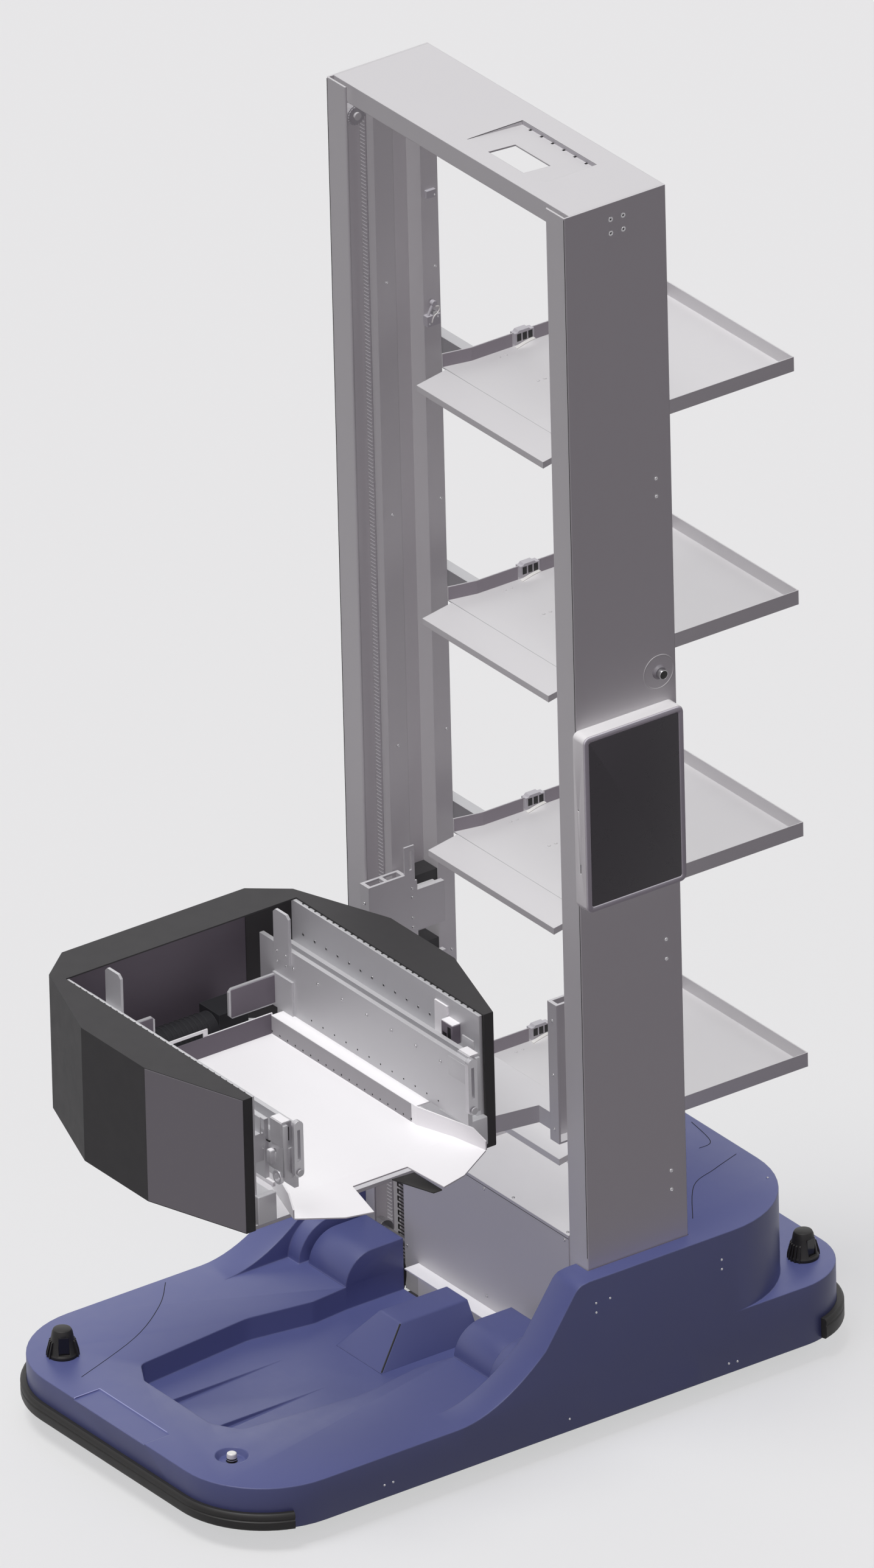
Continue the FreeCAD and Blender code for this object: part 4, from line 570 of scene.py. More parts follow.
# A light blue strand along the lamp step's far end and rear edge is a painted highlight on those edges.
lamp_step_highlight_blue = finish("lamp_step_highlight_blue", "9FA3D0", 0.4, grain=1900)
cord("lamp_step_painted_highlight", [(-762, 139.6, 129.2), (-759, 139.6, 130.6), (-702, 139.6, 130.8),
                        (-699.8, 138, 130.8), (-699.8, -90, 130.6)], 1.2, lamp_step_highlight_blue, "base")
side_screws = [(398, 298), (398, 277), (93, 302), (93, 281), (127, 302), (410, 62), (431, 60), (23, 67),
               (-425, 69), (-404, 69)]
for name, side in both_sides:
    screws("side_screws_" + name, [(x, side * cover_side, z) for x, z in side_screws], (0, side, 0), 2.6,
           "base", "cover_plastic")
    screws("end_screws_" + name, [(x, side * 300, housing_top) for x in (610, 330)], (0, 0, 1), 2.6, "base",
           "cover_plastic")


# Sensor hood. A small cover of the same blue plastic with a slanted front, set down on the
# recessed floor over a forward sensor. A thin black gasket fills its near front corner.

hood = made("sensor_hood_cover", tapered((77.4, slab(-179, 67, -79, 79)), (81, slab(-175, 67, -77, 77)),
                                         (151, slab(-97, 67, -35, 35))))
fit(soften(hood, 4, 3, 30), cover_moulding, "base", "cover_plastic", "sensor_hood")
black_moulding = finish("black_moulding", "262524", 0.5, specular=0.3, wear_and_sheen_colour="5A5957", grain=2400,
                        grain_depth=0.00004)
cord("hood_gasket", [(-173.5, -75.5, 83), (-98.5, -36.2, 150)], 1.7, black_moulding, "base")
for name, path in (("hood_bead", [(-175, 74, 81.2), (-175, -76, 81.2)]),
                   ("hump_bead_far", [(-74, 186, 131.2), (-74, 306, 131.2)]),
                   ("hump_bead_near", [(-74, -186, 131.2), (-74, -306, 131.2)])):
    cord(name, path, 1.1, cover_moulding, "base")


# Bumper strips. Black rubber mouldings with a lip and a groove, snapped round the foot of
# the cover at both ends; each ends square along the sides.

def end_of_cover(wall_x, reach, radius, hug):
    """Stations round one end of the cover, from its near side to its far side."""
    way = -1 if wall_x < 0 else 1
    first, steps = math.asin((radius - reach) / radius), 14
    near = []
    for step in range(steps + 1):
        angle = first + (math.pi / 2 - first) * step / steps
        out_x, out_y = way * math.sin(angle), -math.cos(angle)
        near.append((wall_x - way * radius + radius * out_x, radius - cover_side + radius * out_y, out_x,
                     out_y * hug))
    return near + [(x, -y, nx, -ny) for x, y, nx, ny in reversed(near)]


for name, wall_x, reach, radius, hug, out, low, high in (
        ("front_bumper", cover_front, 128, front_corner, 1, 13, 42, 78),
        ("rear_bumper", cover_rear, 104, rear_corner, 0.85, 16, 42, 86)):
    lip = [(0.4, low), (out - 4, low), (out - 1.2, low + 2), (out, low + 5), (out, high - 17),
           (out - 2.2, high - 15.5), (out - 2.2, high - 13), (out, high - 11.5), (out, high - 6),
           (out - 1.5, high - 2.5), (out - 5, high), (0.4, high)]
    strip = skinned([[(x + nx * ledge, y + ny * ledge, height) for ledge, height in lip]
                     for x, y, nx, ny in end_of_cover(wall_x, reach, radius, hug)])
    fit(made(name + "_strip", strip), black_moulding, "base", "black_plastic", name)


# Corner scanners and deck button. Each scanner is a black tapered head with cooling ribs
# round its foot and a dark window that looks out over the corner. The button is a small
# white cap on a stem, sunk in a round dish of the deck.

window_glass = finish("window_glass", "161518", 0.16, wear_and_sheen_colour="2A292C", wear_and_sheen_amount=0.2, drift=0.1,
                      grain_depth=0.000004)
for name, (x, y), deck, facing in (("scanner_front", front_scanner, front_deck, -118),
                                   ("scanner_rear", rear_scanner, back_deck, -80)):
    head = made(name + "_head", turned((x, y), (deck - 43.9, 24), (deck - 42, 26), (deck + 0.4, 26),
                                       (deck + 0.4, 31), (deck + 6, 30.6), (deck + 10, 27.5), (deck + 45, 22),
                                       (deck + 53, 20.5), (deck + 58, 18), (deck + 59.8, 14), sides=64))
    stand = Matrix.Translation((x, y, 0))
    turn = stand @ Matrix.Rotation(math.radians(facing), 4, "Z")
    cut_away(head, moved(block(21, 40, -11, 11, deck + 9, deck + 47), turn))
    fit(soften(head, 0.8), black_moulding, "base", "black_plastic", name)
    pane = moved(block(19.5, 21.4, -10.7, 10.7, deck + 9.3, deck + 46.7), turn)
    fit(made(name + "_window", pane), window_glass, "base", "black_plastic")
    ribs = []
    for step in range(-7, 8):
        rib = prism([(25, deck + 1), (33.6, deck + 1), (33, deck + 9), (26.5, deck + 34), (22, deck + 36)],
                    -1.5, 1.5, "y")
        ribs.append(moved(rib, stand @ Matrix.Rotation(math.radians(facing + 180 + step * 17), 4, "Z")))
    fit_many(name + "_ribs", ribs, black_moulding, "base", "black_plastic")
button_white = finish("button_white", "F1F0EC", 0.4, wear_and_sheen_colour="F0F0EE", grain=2200)
button = made("deck_button_cap", turned(button_dish, (122.7, 10.3), (133, 10.3), (136, 9.6), (137.4, 7.6)))
fit(button, button_white, "deck_button", "black_plastic", "deck_button")
stem = made("deck_button_stem", turned(button_dish, (113.4, 7.2), (122.7, 7.2), (122.9, 10), (124.2, 10.4),
                                       (127, 10.4)))
fit(stem, black_moulding, "deck_button", "black_plastic")


# Drive wheels. Black tyres with two shallow grooves on dished grey castings with lightening
# holes; each turns on a stub axle and is held by a ring of screws.

def hoop(middle, profile, along, sides=56):
    """Ring from a closed (height, radius) profile turned about an axis."""
    angles = [2 * math.pi * k / sides for k in range(sides)]
    rings = [[(middle[0] + radius * math.cos(a), middle[1] + radius * math.sin(a), height) for a in angles]
             for height, radius in profile]
    return lay(skinned(rings, capped=False), along)


def set_round(middle, radius, count, first=0):
    """Points set evenly round a circle, from the first angle in degrees."""
    angles = [math.radians(first + 360 / count * k) for k in range(count)]
    return [(middle[0] + radius * math.cos(a), middle[1] + radius * math.sin(a)) for a in angles]


tyre_black = finish("tyre_black", "252425", 0.78, wear_and_sheen_colour="3F3E3F", grain=900, grain_depth=0.00012)
cast_grey = finish("cast_grey", "8E8D90", 0.42, 0.7, wear_and_sheen_colour="B8B7B9", grain=500, grain_depth=0.00006)
wheel_axle, wheel_track = (15, 88), 246
tread = [(-25, 63), (-25, 84), (-21.5, 87.9), (-10, 88), (-8.6, 85.8), (-6.4, 85.8), (-5, 88), (5, 88),
         (6.4, 85.8), (8.6, 85.8), (10, 88), (21.5, 87.9), (25, 84), (25, 63)]
dish = [(-23, 10.1), (-23, 22), (-12, 27), (-9, 54), (-23.5, 57), (-24, 63.2), (24, 63.2), (23.5, 57),
        (9, 54), (12, 27), (23, 22), (23, 10.1)]
for name, side in both_sides:
    body = "drive_wheel_" + name
    mid = side * wheel_track
    tyre = hoop(wheel_axle, [(mid + y, r) for y, r in tread], "y", 72)
    fit(made(body + "_tyre", tyre), tyre_black, body, "tread", body)
    hub = made(body + "_hub", hoop(wheel_axle, [(mid + y, r) for y, r in dish], "y"))
    cut_away(hub, *[rod(place, 9.5, mid - 26, mid + 26, "y", 24) for place in set_round(wheel_axle, 42, 6)])
    fit(hub, cast_grey, body, "tread")
    bolts = [(x, mid + side * 23, z) for x, z in set_round(wheel_axle, 17, 6, 30)]
    screws(body + "_bolts", bolts, (0, side, 0), 3.2, body, "tread")


# Casters. Four small wheels of hard black rubber on white nylon hubs, each in a pressed
# steel yoke that swivels below a bridge of the frame and trails behind its stem.

hub_nylon = finish("hub_nylon", "A9A8A6", 0.55, grain=1400)
yoke_zinc = finish("yoke_zinc", "9C9B9C", 0.38, 0.85, wear_and_sheen_colour="C8C7C8", drift=0.12, grain=260,
                   grain_depth=0.00001)
axle_trail, axle_height = 24, 37.5
tread = [(-11, 27), (-12.8, 29), (-12.8, 33), (-10, 36.4), (-5, 37.5), (5, 37.5), (10, 36.4), (12.8, 33),
         (12.8, 29), (11, 27)]
disc = [(-13, 5.1), (-13, 9), (-8, 11), (-8, 24), (-11.5, 27.4), (11.5, 27.4), (8, 24), (8, 11), (13, 9),
        (13, 5.1)]
nut = ((-0.6, 6), (2.4, 6), (3.2, 5.2), (3.3, 3), (4.8, 3), (5.0, 2.6))
for name, x, y in (("front_far", -560, 300), ("front_near", -560, -300), ("rear_far", 540, 300),
                   ("rear_near", 540, -300)):
    axle = (x + axle_trail, axle_height)
    wheel, yoke = "caster_wheel_" + name, "caster_yoke_" + name
    fit(made(wheel + "_tyre", hoop(axle, [(y + a, r) for a, r in tread], "y")), tyre_black, wheel, "tread",
        wheel)
    fit(made(wheel + "_hub", hoop(axle, [(y + a, r) for a, r in disc], "y", 40)), hub_nylon, wheel, "tread")
    dress(yoke_zinc, yoke)
    for end, side in reversed(both_sides):
        studs(yoke + "_nut_" + end, [(axle[0], y + side * 19.2, axle_height)], (0, side, 0), nut,
              bright_steel, yoke, "bright_steel", 6)


# Battery and control unit. A painted steel battery case stands on the bottom plate under
# the housing, with the finned aluminium control box bolted on its lid.

case_paint = finish("case_paint", "3A3B3F", 0.55, wear_and_sheen_colour="7C7D80", grain=1300, grain_depth=0.00006)
dress(case_paint, "battery")
fin_aluminium = finish("fin_aluminium", "A5A6A8", 0.36, 0.85, wear_and_sheen_colour="D0D1D2", brushed=(900, 14, 14))
dress(fin_aluminium, "control_unit")


# Mast columns. Two tall pieces folded from powder-coated sheet, each with a front flange and
# two grooves between hollow lands, in which the carriage is guided. Screws hold the tray
# brackets, and slotted tabs along the grooves take the wiring.

column_powder = finish("column_powder", "D6D5D6", 0.5, wear_and_sheen_colour="E8E8E8", wear_and_sheen_amount=0.3, drift=0.025, grain=1500,
                       grain_depth=0.00005, edge=0.002)
dress(column_powder, "column_far", "column_near")
column_face, land_face = 395, 332.9
first_tab, tab_count, tab_pitch = 560, 22, 92
screw_places = [(309, z) for z in (2035, 1996, 1022, 979, 509, 467)]
for name, side in reversed(both_sides):
    screws(name + "_column_screws", [(x, side * column_face, z) for x, z in screw_places], (0, side, 0), 4.2,
           "base", "column_aluminium")
bolt_places = [(230 + i, 2613 + j) for i in (-15, 15) for j in (-15, 15)]
studs("near_column_bolt_holes", [(x, 0.1 - column_face, z) for x, z in bolt_places], (0, -1, 0),
      ((-3.6, 2.15), (-0.4, 2.15)), dark_gap, "base", "column_aluminium")
bolt_rim = [(-395.5, 2.4), (-395.5, 5.2), (-395, 5.8), (-395, 2.4)]
fit_many("near_column_bolt_rims", [hoop(place, bolt_rim, "y", 24) for place in bolt_places], bright_steel,
         "base", "column_aluminium")
for name, side in both_sides:
    tabs, marks = [], []
    for z in range(first_tab, first_tab + tab_count * tab_pitch, tab_pitch):
        tabs += [block(108.3, 109.8, side * 342, side * 336, z, z + 26),
                 block(212.8, 214.2, side * 341, side * 335, z + 31, z + 53)]
        marks.append(block(213.7, 214.4, side * 352, side * 346, z + 60, z + 72))
    fit_many(name + "_column_tabs", tabs, bright_steel, "base", "column_aluminium")
    fit_many(name + "_column_slots", marks, dark_gap, "base", "column_aluminium")
    screws(name + "_land_screws", [(x, side * land_face, z) for x in (191, 308)
                                   for z in (700, 1190, 1700, 2210)], (0, -side, 0), 3.4, "base",
           "column_aluminium")
    seam = block(103.6, 104.2, side * 393.2, side * 394.4, 380, 2660)
    fit(made(name + "_column_seam", seam), dark_gap, "base", "column_aluminium")


# Top beam. A folded and welded cap over both columns, in the same grey powder, with a
# sloped pocket pressed in its top and a square hole for cables.

dress(column_powder, "top_beam")
pocket_wall, pocket_line, beam_top = 291.8, 292.6, 2662.95
notches = [block(pocket_wall - 5.3, pocket_wall, y, y + 5, 2654.2, 2654.9) for y in range(-215, 0, 37)]
fit_many("pocket_notches", notches, dark_gap, "base", "beam_steel")
# A grey sheet on the pocket's rear wall is painted shade: it makes the upright wall darker than the beam's
# lit top.
pocket_wall_shade = finish("pocket_wall_shade", "B4B2B6", 0.6, wear_and_sheen_colour="C0BFC2", grain=1500)
shade_strip = block(pocket_wall, pocket_wall + 1, -242.4, 2.4, 2654.3, 2662.6)
fit(made("pocket_wall_painted_shade", shade_strip), pocket_wall_shade, "base", "beam_steel")
pocket_lines = [block(158.4, pocket_line, 1.8, 3.2, beam_top - 0.75, beam_top),
                block(pocket_line, pocket_line + 1.2, -243, 3.2, beam_top - 0.75, beam_top)]
fit_many("pocket_lines", pocket_lines, dark_gap, "base", "beam_steel")


# Lift drive. Toothed belts of pale polyurethane run in the front grooves from pulleys on the
# cross shaft to grey moulded idlers; a geared motor in the cabinet turns the shaft.

belt_grey = finish("belt_grey", "BDBBBE", 0.6, grain=1200, grain_depth=0.00006)
pulley_grey = finish("pulley_grey", "B2B0B4", 0.55, wear_and_sheen_colour="D0CFD2", grain=1700)
dress(belt_grey, "lift_belts")
lowest_tooth, tooth_count, tooth_pitch = 132, 300, 8.15
idler_place, belt_middle = (140, 2585), 358
flute_count, crest_radius, root_radius = 20, 19.9, 18.4
for name, side in both_sides:
    teeth = []
    for step in range(tooth_count):
        z = lowest_tooth + step * tooth_pitch
        teeth += [block(x, x + 0.8, side * 350, side * 366, z, z + 3.6) for x in (119.8, 159.4)]
    fit_many(name + "_belt_teeth", teeth, belt_grey, "base", "belt_rubber")
    fluted = []
    for step in range(flute_count):
        crest, edge, root = [2 * math.pi * (step + share) / flute_count for share in (0.0, 0.42, 0.5)]
        fluted += [(idler_place[0] + radius * math.cos(a), idler_place[1] + radius * math.sin(a))
                   for a, radius in ((crest, crest_radius), (edge, crest_radius), (root, root_radius),
                                (root + 0.1, root_radius))]
    middle = side * belt_middle
    wheel = made("idler_%s_pulley" % name, prism(fluted, middle - 11, middle + 11, "y"))
    cut_away(wheel, rod(idler_place, 8.1, middle - 14, middle + 14, "y"))
    fit(wheel, pulley_grey, "idler_" + name, "bright_steel", "idler_" + name)
dress(bright_steel, "drive_shaft")
motor_paint = finish("motor_paint", "2E2E31", 0.55, specular=0.25, wear_and_sheen_colour="8A8B8E", grain=1400,
                     grain_depth=0.00005)
dress(motor_paint, "lift_motor")


# Cabinet between the columns. A screwed box of grey sheet with vents in its back, a baffle
# along its rear edge, a white sill in front, and a black chain of cable links up its far end.

cabinet_front, cabinet_lid = 104, 404
dress(column_powder, "cabinet", "cabinet_baffle")
sill_white = finish("sill_white", "F0EFF1", 0.45, wear_and_sheen_colour="F8F8F8", drift=0.02, grain=1500, grain_depth=0.00004)
dress(sill_white, "sill_plate")
screws("cabinet_screws", [(x, y, cabinet_lid) for x in (112, 275) for y in (-318, -135, 45, 222)], (0, 0, 1),
       3.4, "base", "sheet_steel")
screws("cabinet_front_screws", [(cabinet_front, y, z) for y in (-318, -48, 222) for z in (150, 390)],
       (-1, 0, 0), 3.4, "base", "sheet_steel")
seams = [block(103.7, 104.1, -331, 230, 396.2, 397.2), block(106, 283, 226.8, 227.8, 403.9, 404.2)]
fit_many("cabinet_lid_seam", seams, dark_gap, "base", "sheet_steel")
links = []
lowest_link, link_count, link_pitch = 54, 22, 15.9
link_height, open_reach_top = 10.5, 300
for step in range(link_count):
    z = lowest_link + step * link_pitch
    top = z + link_height
    links.append(block(149.2, 152, 243, 285, z, top))
    if z < open_reach_top:
        links += [block(149.2, 151, 284, 316, z, z + 2.2), block(149.2, 151, 284, 316, z + 8.3, top),
                  block(149.2, 151, 313, 316, z, top)]
    links.append(rod((151, z + 13.2), 2.2, 242, 286, "y", 14))
fit_many("cable_links", links, black_moulding, "base", "black_plastic")
dress(black_moulding, "cable_chain")


# Limit switches. A roller lever switch and a small sensor on the far column's inner land,
# grey mouldings with a bent white lever and a pale roller.

switch_grey = finish("switch_grey", "C4C2C7", 0.5, grain=1900, grain_depth=0.00004)
dress(switch_grey, "limit_switches")
lever = [(288, 318.4, 2098), (290, 318.0, 2106), (294, 317.8, 2112), (302, 317.8, 2117), (306, 317.8, 2124),
         (303, 317.8, 2130), (297, 317.8, 2131)]
cord("switch_lever", flow(lever), 1.3, button_white, "base")
screws("switch_screws", [(x, 318.9, z) for x, z in ((282, 2096), (302, 2107), (301, 2374))], (0, -1, 0), 2.2,
       "base", "black_plastic")
roller = hoop((297, 2113), [(320.2, 2), (320.2, 6), (321, 6.3), (329, 6.3), (329.8, 6), (329.8, 2)], "y", 28)
fit(made("switch_roller", roller), bright_steel, "base", "black_plastic")


# Storage trays. Four shallow trays folded from thin grey sheet, flared to the mast with a
# sloping lip, hung on perforated channels; a presence sensor looks over each far wall.

tray_sheet = finish("tray_sheet", "D8D7D8", 0.42, wear_and_sheen_colour="E9E9E9", drift=0.02, grain=1300, grain_depth=0.00004,
                    edge=0.0015)
channel_zinc = finish("channel_zinc", "B9B9BB", 0.4, 0.6, wear_and_sheen_colour="D5D5D6", drift=0.08, grain=300,
                      grain_depth=0.00001)
dress(channel_zinc, "tray_crossbars")
dress(switch_grey, "tray_sensors")
# Darker grey for painted shade on the insides of the storage trays' far walls.
storage_wall_shade = finish("storage_wall_shade", "9E989F", 0.6, wear_and_sheen_colour="B4AFB5", drift=0.03, grain=1300, grain_depth=0.00004)
rivet = ((-0.1, 3.6), (0.5, 3.4), (1.0, 2.4), (1.1, 1.2))
lowest_tray, tray_pitch = 514, 512.7
wall_top, wall_face = 28.4, 210
for level in range(4):
    tray = "tray_%d_" % (level + 1)
    z = lowest_tray + tray_pitch * level
    dress(tray_sheet, "storage_tray_%d" % (level + 1))
    studs(tray + "rivets", [(x, y, z) for x in (356, 372) for y in (-190, -60, 60, 190)], (0, 0, 1), rivet,
          tray_sheet, "base", "tray_steel")
    panes = [block(x, x + 10, 205.5, 206.4, z + 10, z + 26) for x in (411, 424.5, 438)]
    fit_many(tray + "sensor_windows", panes, window_glass, "base", "black_plastic")
    shelf = [(404 + 5 * k, z + 1.2 + 9 * math.sin(math.radians(9 * k))) for k in range(10)]
    cradle = prism(shelf + [(x, h - 1.4) for x, h in reversed(shelf)], 196, 205.2, "y")
    fit(made(tray + "sensor_cradle", cradle), button_white, "base", "tray_steel")
    # Painted shade: a darker grey sheet along the inside of the far wall, on its straight runs and its flare,
    # where the wall lies in shade.
    low, high = z + 0.6, z + wall_top
    shaded_runs = [block(x0, x1, 209.9, 211, low, high) for x0, x1 in ((304, 402), (456, 773.8))]
    shaded_runs.append(prism([(244, 222.4), (304.6, 209.9), (304.6, 211), (244, 223.6)], low, high))
    fit_many(tray + "far_wall_painted_shade", shaded_runs, storage_wall_shade, "base", "tray_steel")
    bends = [block(775.5, 775.95, y - 1.2, y + 1.2, z + 0.4, z + 28.6) for y in (-wall_face, wall_face)]
    fit_many(tray + "corner_seams", bends, dark_gap, "base", "tray_steel")
    lip = block(242.2, 243.4, -223.5, 223.5, z + 0.05, z + 0.35)
    fit(made(tray + "lip_bend", lip), channel_zinc, "base", "tray_steel")


# Tablet. White moulded case screwed flat on the near column, a grey bezel snapped into its
# front and a sheet of dark glass laid in the bezel. A pin hole and a slot on its front edge.

def drawn_in(outline, gap, radius):
    """A tablet outline pulled in all round, with rounded corners."""
    middle_x = sum(x for x, z in outline) / len(outline)
    middle_z = sum(z for x, z in outline) / len(outline)
    return rounded([(x - math.copysign(gap, x - middle_x), z - math.copysign(gap, z - middle_z), radius)
                    for x, z in outline])


case_front, glass_front, bezel_front = -429.5, -432.2, -433
tablet_corners = slab(96, 337, 1160, 1546)
glass_seat = slab(108, 325, 1172, 1534)
case_white = finish("case_white", "F3F2F2", 0.4, wear_and_sheen_colour="F8F8F7", grain=2100, grain_depth=0.00003)
case = made("tablet_case_shell", prism(drawn_in(tablet_corners, 0, 14), case_front, -column_face, "y"))
cut_away(case, block(95, 98, -414, -411.2, 1242, 1262), rod((-409, 1380), 1.8, 95, 99, "x", 16))
fit(soften(case, 1.6, 3), case_white, "base", "case_plastic", "tablet_case")
openings = [block(97.0, 98.2, -413.9, -411.3, 1242.2, 1261.8), rod((-409, 1380), 1.7, 97.0, 98.6, "x", 16)]
fit_many("tablet_case_openings", openings, dark_gap, "base", "case_plastic")
bezel_grey = finish("bezel_grey", "D2CFD6", 0.5, wear_and_sheen_colour="DDDAE0", specular=0.3, grain=2100, grain_depth=0.00003)
bezel = made("tablet_bezel", prism(drawn_in(tablet_corners, 1.6, 13), bezel_front, -428.6, "y"))
cut_away(bezel, prism(drawn_in(glass_seat, 0, 5), -434, -430, "y"))
fit(soften(bezel, 1.0), bezel_grey, "base", "case_plastic")
screen_dark = finish("screen_dark", "464248", 0.3, wear_and_sheen_colour="57545A", wear_and_sheen_amount=0.2, drift=0.03, specular=0.3,
                     grain_depth=0.000003)
screen = made("tablet_glass", prism(drawn_in(glass_seat, 0.6, 4.5), glass_front, -429.9, "y"))
fit(soften(screen, 0.5), screen_dark, "base", "screen_glass", "tablet_screen")


# Column button. A moulded grey collar inside a low ring pressed up in the column's sheet, and
# a bright turned cap with a dark face, pressed with a thumb.

button_middle = (306, 1612)
collar_grey = finish("collar_grey", "8B888D", 0.55, wear_and_sheen_colour="9E9BA0", grain=1700)
collar = [(-395, 10.1), (-395, 15), (-396.6, 15), (-399.6, 13.6), (-401.9, 12.2), (-402, 10.1)]
fit(made("button_collar", hoop(button_middle, collar, "y", 48)), collar_grey, "base", "black_plastic",
    "button_bezel")
ring = [(-394.9, 34), (-396, 34.5), (-396, 36.9), (-394.9, 37.4)]
fit(made("button_ring", hoop(button_middle, ring, "y", 64)), column_powder, "base", "column_aluminium")
cap = turned(button_middle, (-398.3, 9.9), (-411.2, 9.9), (-412.0, 9.4), (-412.0, 8.9), (-410.8, 8.8),
             along="y")
fit(made("button_cap", cap), bright_steel, "column_button", "black_plastic", "column_button")
face = turned(button_middle, (-410.5, 8.7), (-411.7, 8.6), (-412.2, 7.4), along="y")
fit(made("button_face", face), black_moulding, "column_button", "black_plastic")


# Lift carriage. A welded aluminium frame: two slotted channels that reach into the columns,
# a cross box and a thin platform. Nylon shoes slide in the grooves, and the platform
# carries the slewing ring with its flat motor.

fork_middle = -368
carriage_paint = finish("carriage_paint", "CFCED0", 0.46, wear_and_sheen_colour="E6E6E6", drift=0.03, grain=1300,
                        grain_depth=0.00005)
dress(carriage_paint, "carriage_frame")
shoe_nylon = finish("shoe_nylon", "2E2D2F", 0.6, grain=1200)
dress(shoe_nylon, "guide_shoes")
dress(bright_steel, "turn_ring")
dress(motor_paint, "turn_motor")
for name, side in both_sides:
    screws(name + "_channel_screws", [(193, side * 299.9, z)
                                      for z in (640, 660, 706, 726, 800, 820, 866, 886)], (0, -side, 0), 3.2,
           "lift", "carriage_aluminium")
    screws(name + "_channel_front_screws", [(88, side * 315, z) for z in (640, 760, 880)], (-1, 0, 0), 3.4,
           "lift", "carriage_aluminium")
ring_bolts = [(x, y, 664.6) for x, y in set_round((fork_middle, 0), 116, 12)]
studs("turn_ring_bolts", ring_bolts, (0, 0, 1), ((-1, 4), (0.05, 4), (0.08, 2)), motor_paint, "lift",
      "bright_steel")


# Fork base and shroud. A steel plate turns in the ring and carries a tall faceted guard,
# folded from dark sheet with a flat rim and hemmed at the mouth; a lighter grey sheet on the
# facet by each mouth is a painted reflection of its glossy paint, and eight screws hold it at
# the closed end.

dress(carriage_paint, "fork_base")
shroud_paint = finish("shroud_paint", "3D3C3D", 0.58, wear_and_sheen_colour="5C5B5C", drift=0.03, specular=0.18, grain=1500,
                      grain_depth=0.00006)
dress(shroud_paint, "fork_shroud")
# Lighter grey for the painted reflection on the shroud's mouth facets.
reflection_grey = finish("reflection_grey", "8D8A8F", 0.55, wear_and_sheen_colour="A3A1A6", drift=0.02, specular=0.25, grain=1500,
                    grain_depth=0.00006)
# Dark grey for the shroud lining and the sensor bodies, also laid on as painted shade on the fork tray's back
# wall and the pushers.
grey_and_painted_shade = finish("grey_and_painted_shade", "78727A", 0.65, drift=0.03, grain=1500, specular=0.1)
corner, mouth = Vector((373, -106)), Vector((300, -336))
along = (mouth - corner).normalized()
outward = Vector((-along.y, along.x))
for name, side in both_sides:
    # A lighter grey sheet on the facet by the mouth: painted reflection of the glossy paint.
    start, end = corner + along * 1.2, mouth - along * 0.6
    quad = [start, end, end + outward * 0.8, start + outward * 0.8]
    reflection_sheet = prism([(fork_middle + side * p.x, p.y) for p in quad], 667, 958.5)
    fit(made("shroud_painted_reflection_" + name, reflection_sheet), reflection_grey, "fork", "shroud_paint")
    hems = []
    for width, low, high in ((7, 668, 903), (14, 902, 955)):
        edge = [mouth - along * width, mouth, mouth - outward * 3.2, mouth - along * width - outward * 3.2]
        hems.append(prism([(fork_middle + side * (p.x - outward.x * 0.2), p.y - 0.2) for p in edge], low,
                          high))
    fit_many("shroud_hem_" + name, hems, shroud_paint, "fork", "shroud_paint")
lining = block(fork_middle - 216, fork_middle + 216, 384.3, 385.6, 674, 955)
fit(made("shroud_lining", lining), grey_and_painted_shade, "fork", "shroud_paint")
screws("shroud_screws", [(fork_middle + x, 389, z) for x in (-190, -65, 65, 190) for z in (690, 940)],
       (0, 1, 0), 3.6, "fork", "shroud_paint")


# Fork tray. White lacquered sheet with low folded walls, ledges and a handle at the back; its
# mouth flares and is notched. Thin grey sheets inside its walls paint the shade on them, and a
# black sheet under the notch paints the shade of the down-turned lip.

fork_white = finish("fork_white", "F9F8F9", 0.4, wear_and_sheen_colour="FBFBFB", wear_and_sheen_amount=0.2, drift=0.01, grain=1600,
                    grain_depth=0.00003)
dress(fork_white, "fork_tray")
# A black sheet under the notch is painted shade for the shaded underside of the down-turned lip.
lip_shade = made("lip_painted_shade", prism([(-338, -362), (-286, -366), (-285, -458), (-306, -458)], 686, 689))
fit(soften(lip_shade, 0.8), black_moulding, "fork", "fork_white")
# Thin grey sheets on the insides of the side walls and the back wall are painted shade on the white tray.
fork_wall_shade = finish("fork_tray_painted_shade", "A8A6A9", 0.7, drift=0.03, grain=1500, grain_depth=0.00005, specular=0.2)
shade_sheet_reach, shade_sheet_thickness = 177, 0.9
shade_sheets = [block(x, x + shade_sheet_thickness, -225, 245.8, 711, 750.4)
          for x in (fork_middle - shade_sheet_reach, fork_middle + shade_sheet_reach - shade_sheet_thickness)]
fit_many("tray_wall_painted_shade", shade_sheets, fork_wall_shade, "fork", "fork_white")
back_wall_shade = block(fork_middle - 176, fork_middle + 176, 244.9, 246, 711, 754.4)
fit(made("tray_back_painted_shade", back_wall_shade), grey_and_painted_shade, "fork", "fork_white")
for name, side in reversed(both_sides):
    studs("tray_wall_holes_" + name, [(fork_middle + side * 176.2, y, 717) for y in range(-225, 245, 26)],
          (-side, 0, 0), ((-0.5, 2.0), (0.12, 2.0)), dark_gap, "fork", "fork_white", 12)


# Telescopic arms. On each side a tall fixed plate with a slide rail and a light barrier, a
# middle stage and an inner stage of clear aluminium, drilled and screwed in rows; the inner
# stage has a pusher at its rear and a finger that tips over at its front.

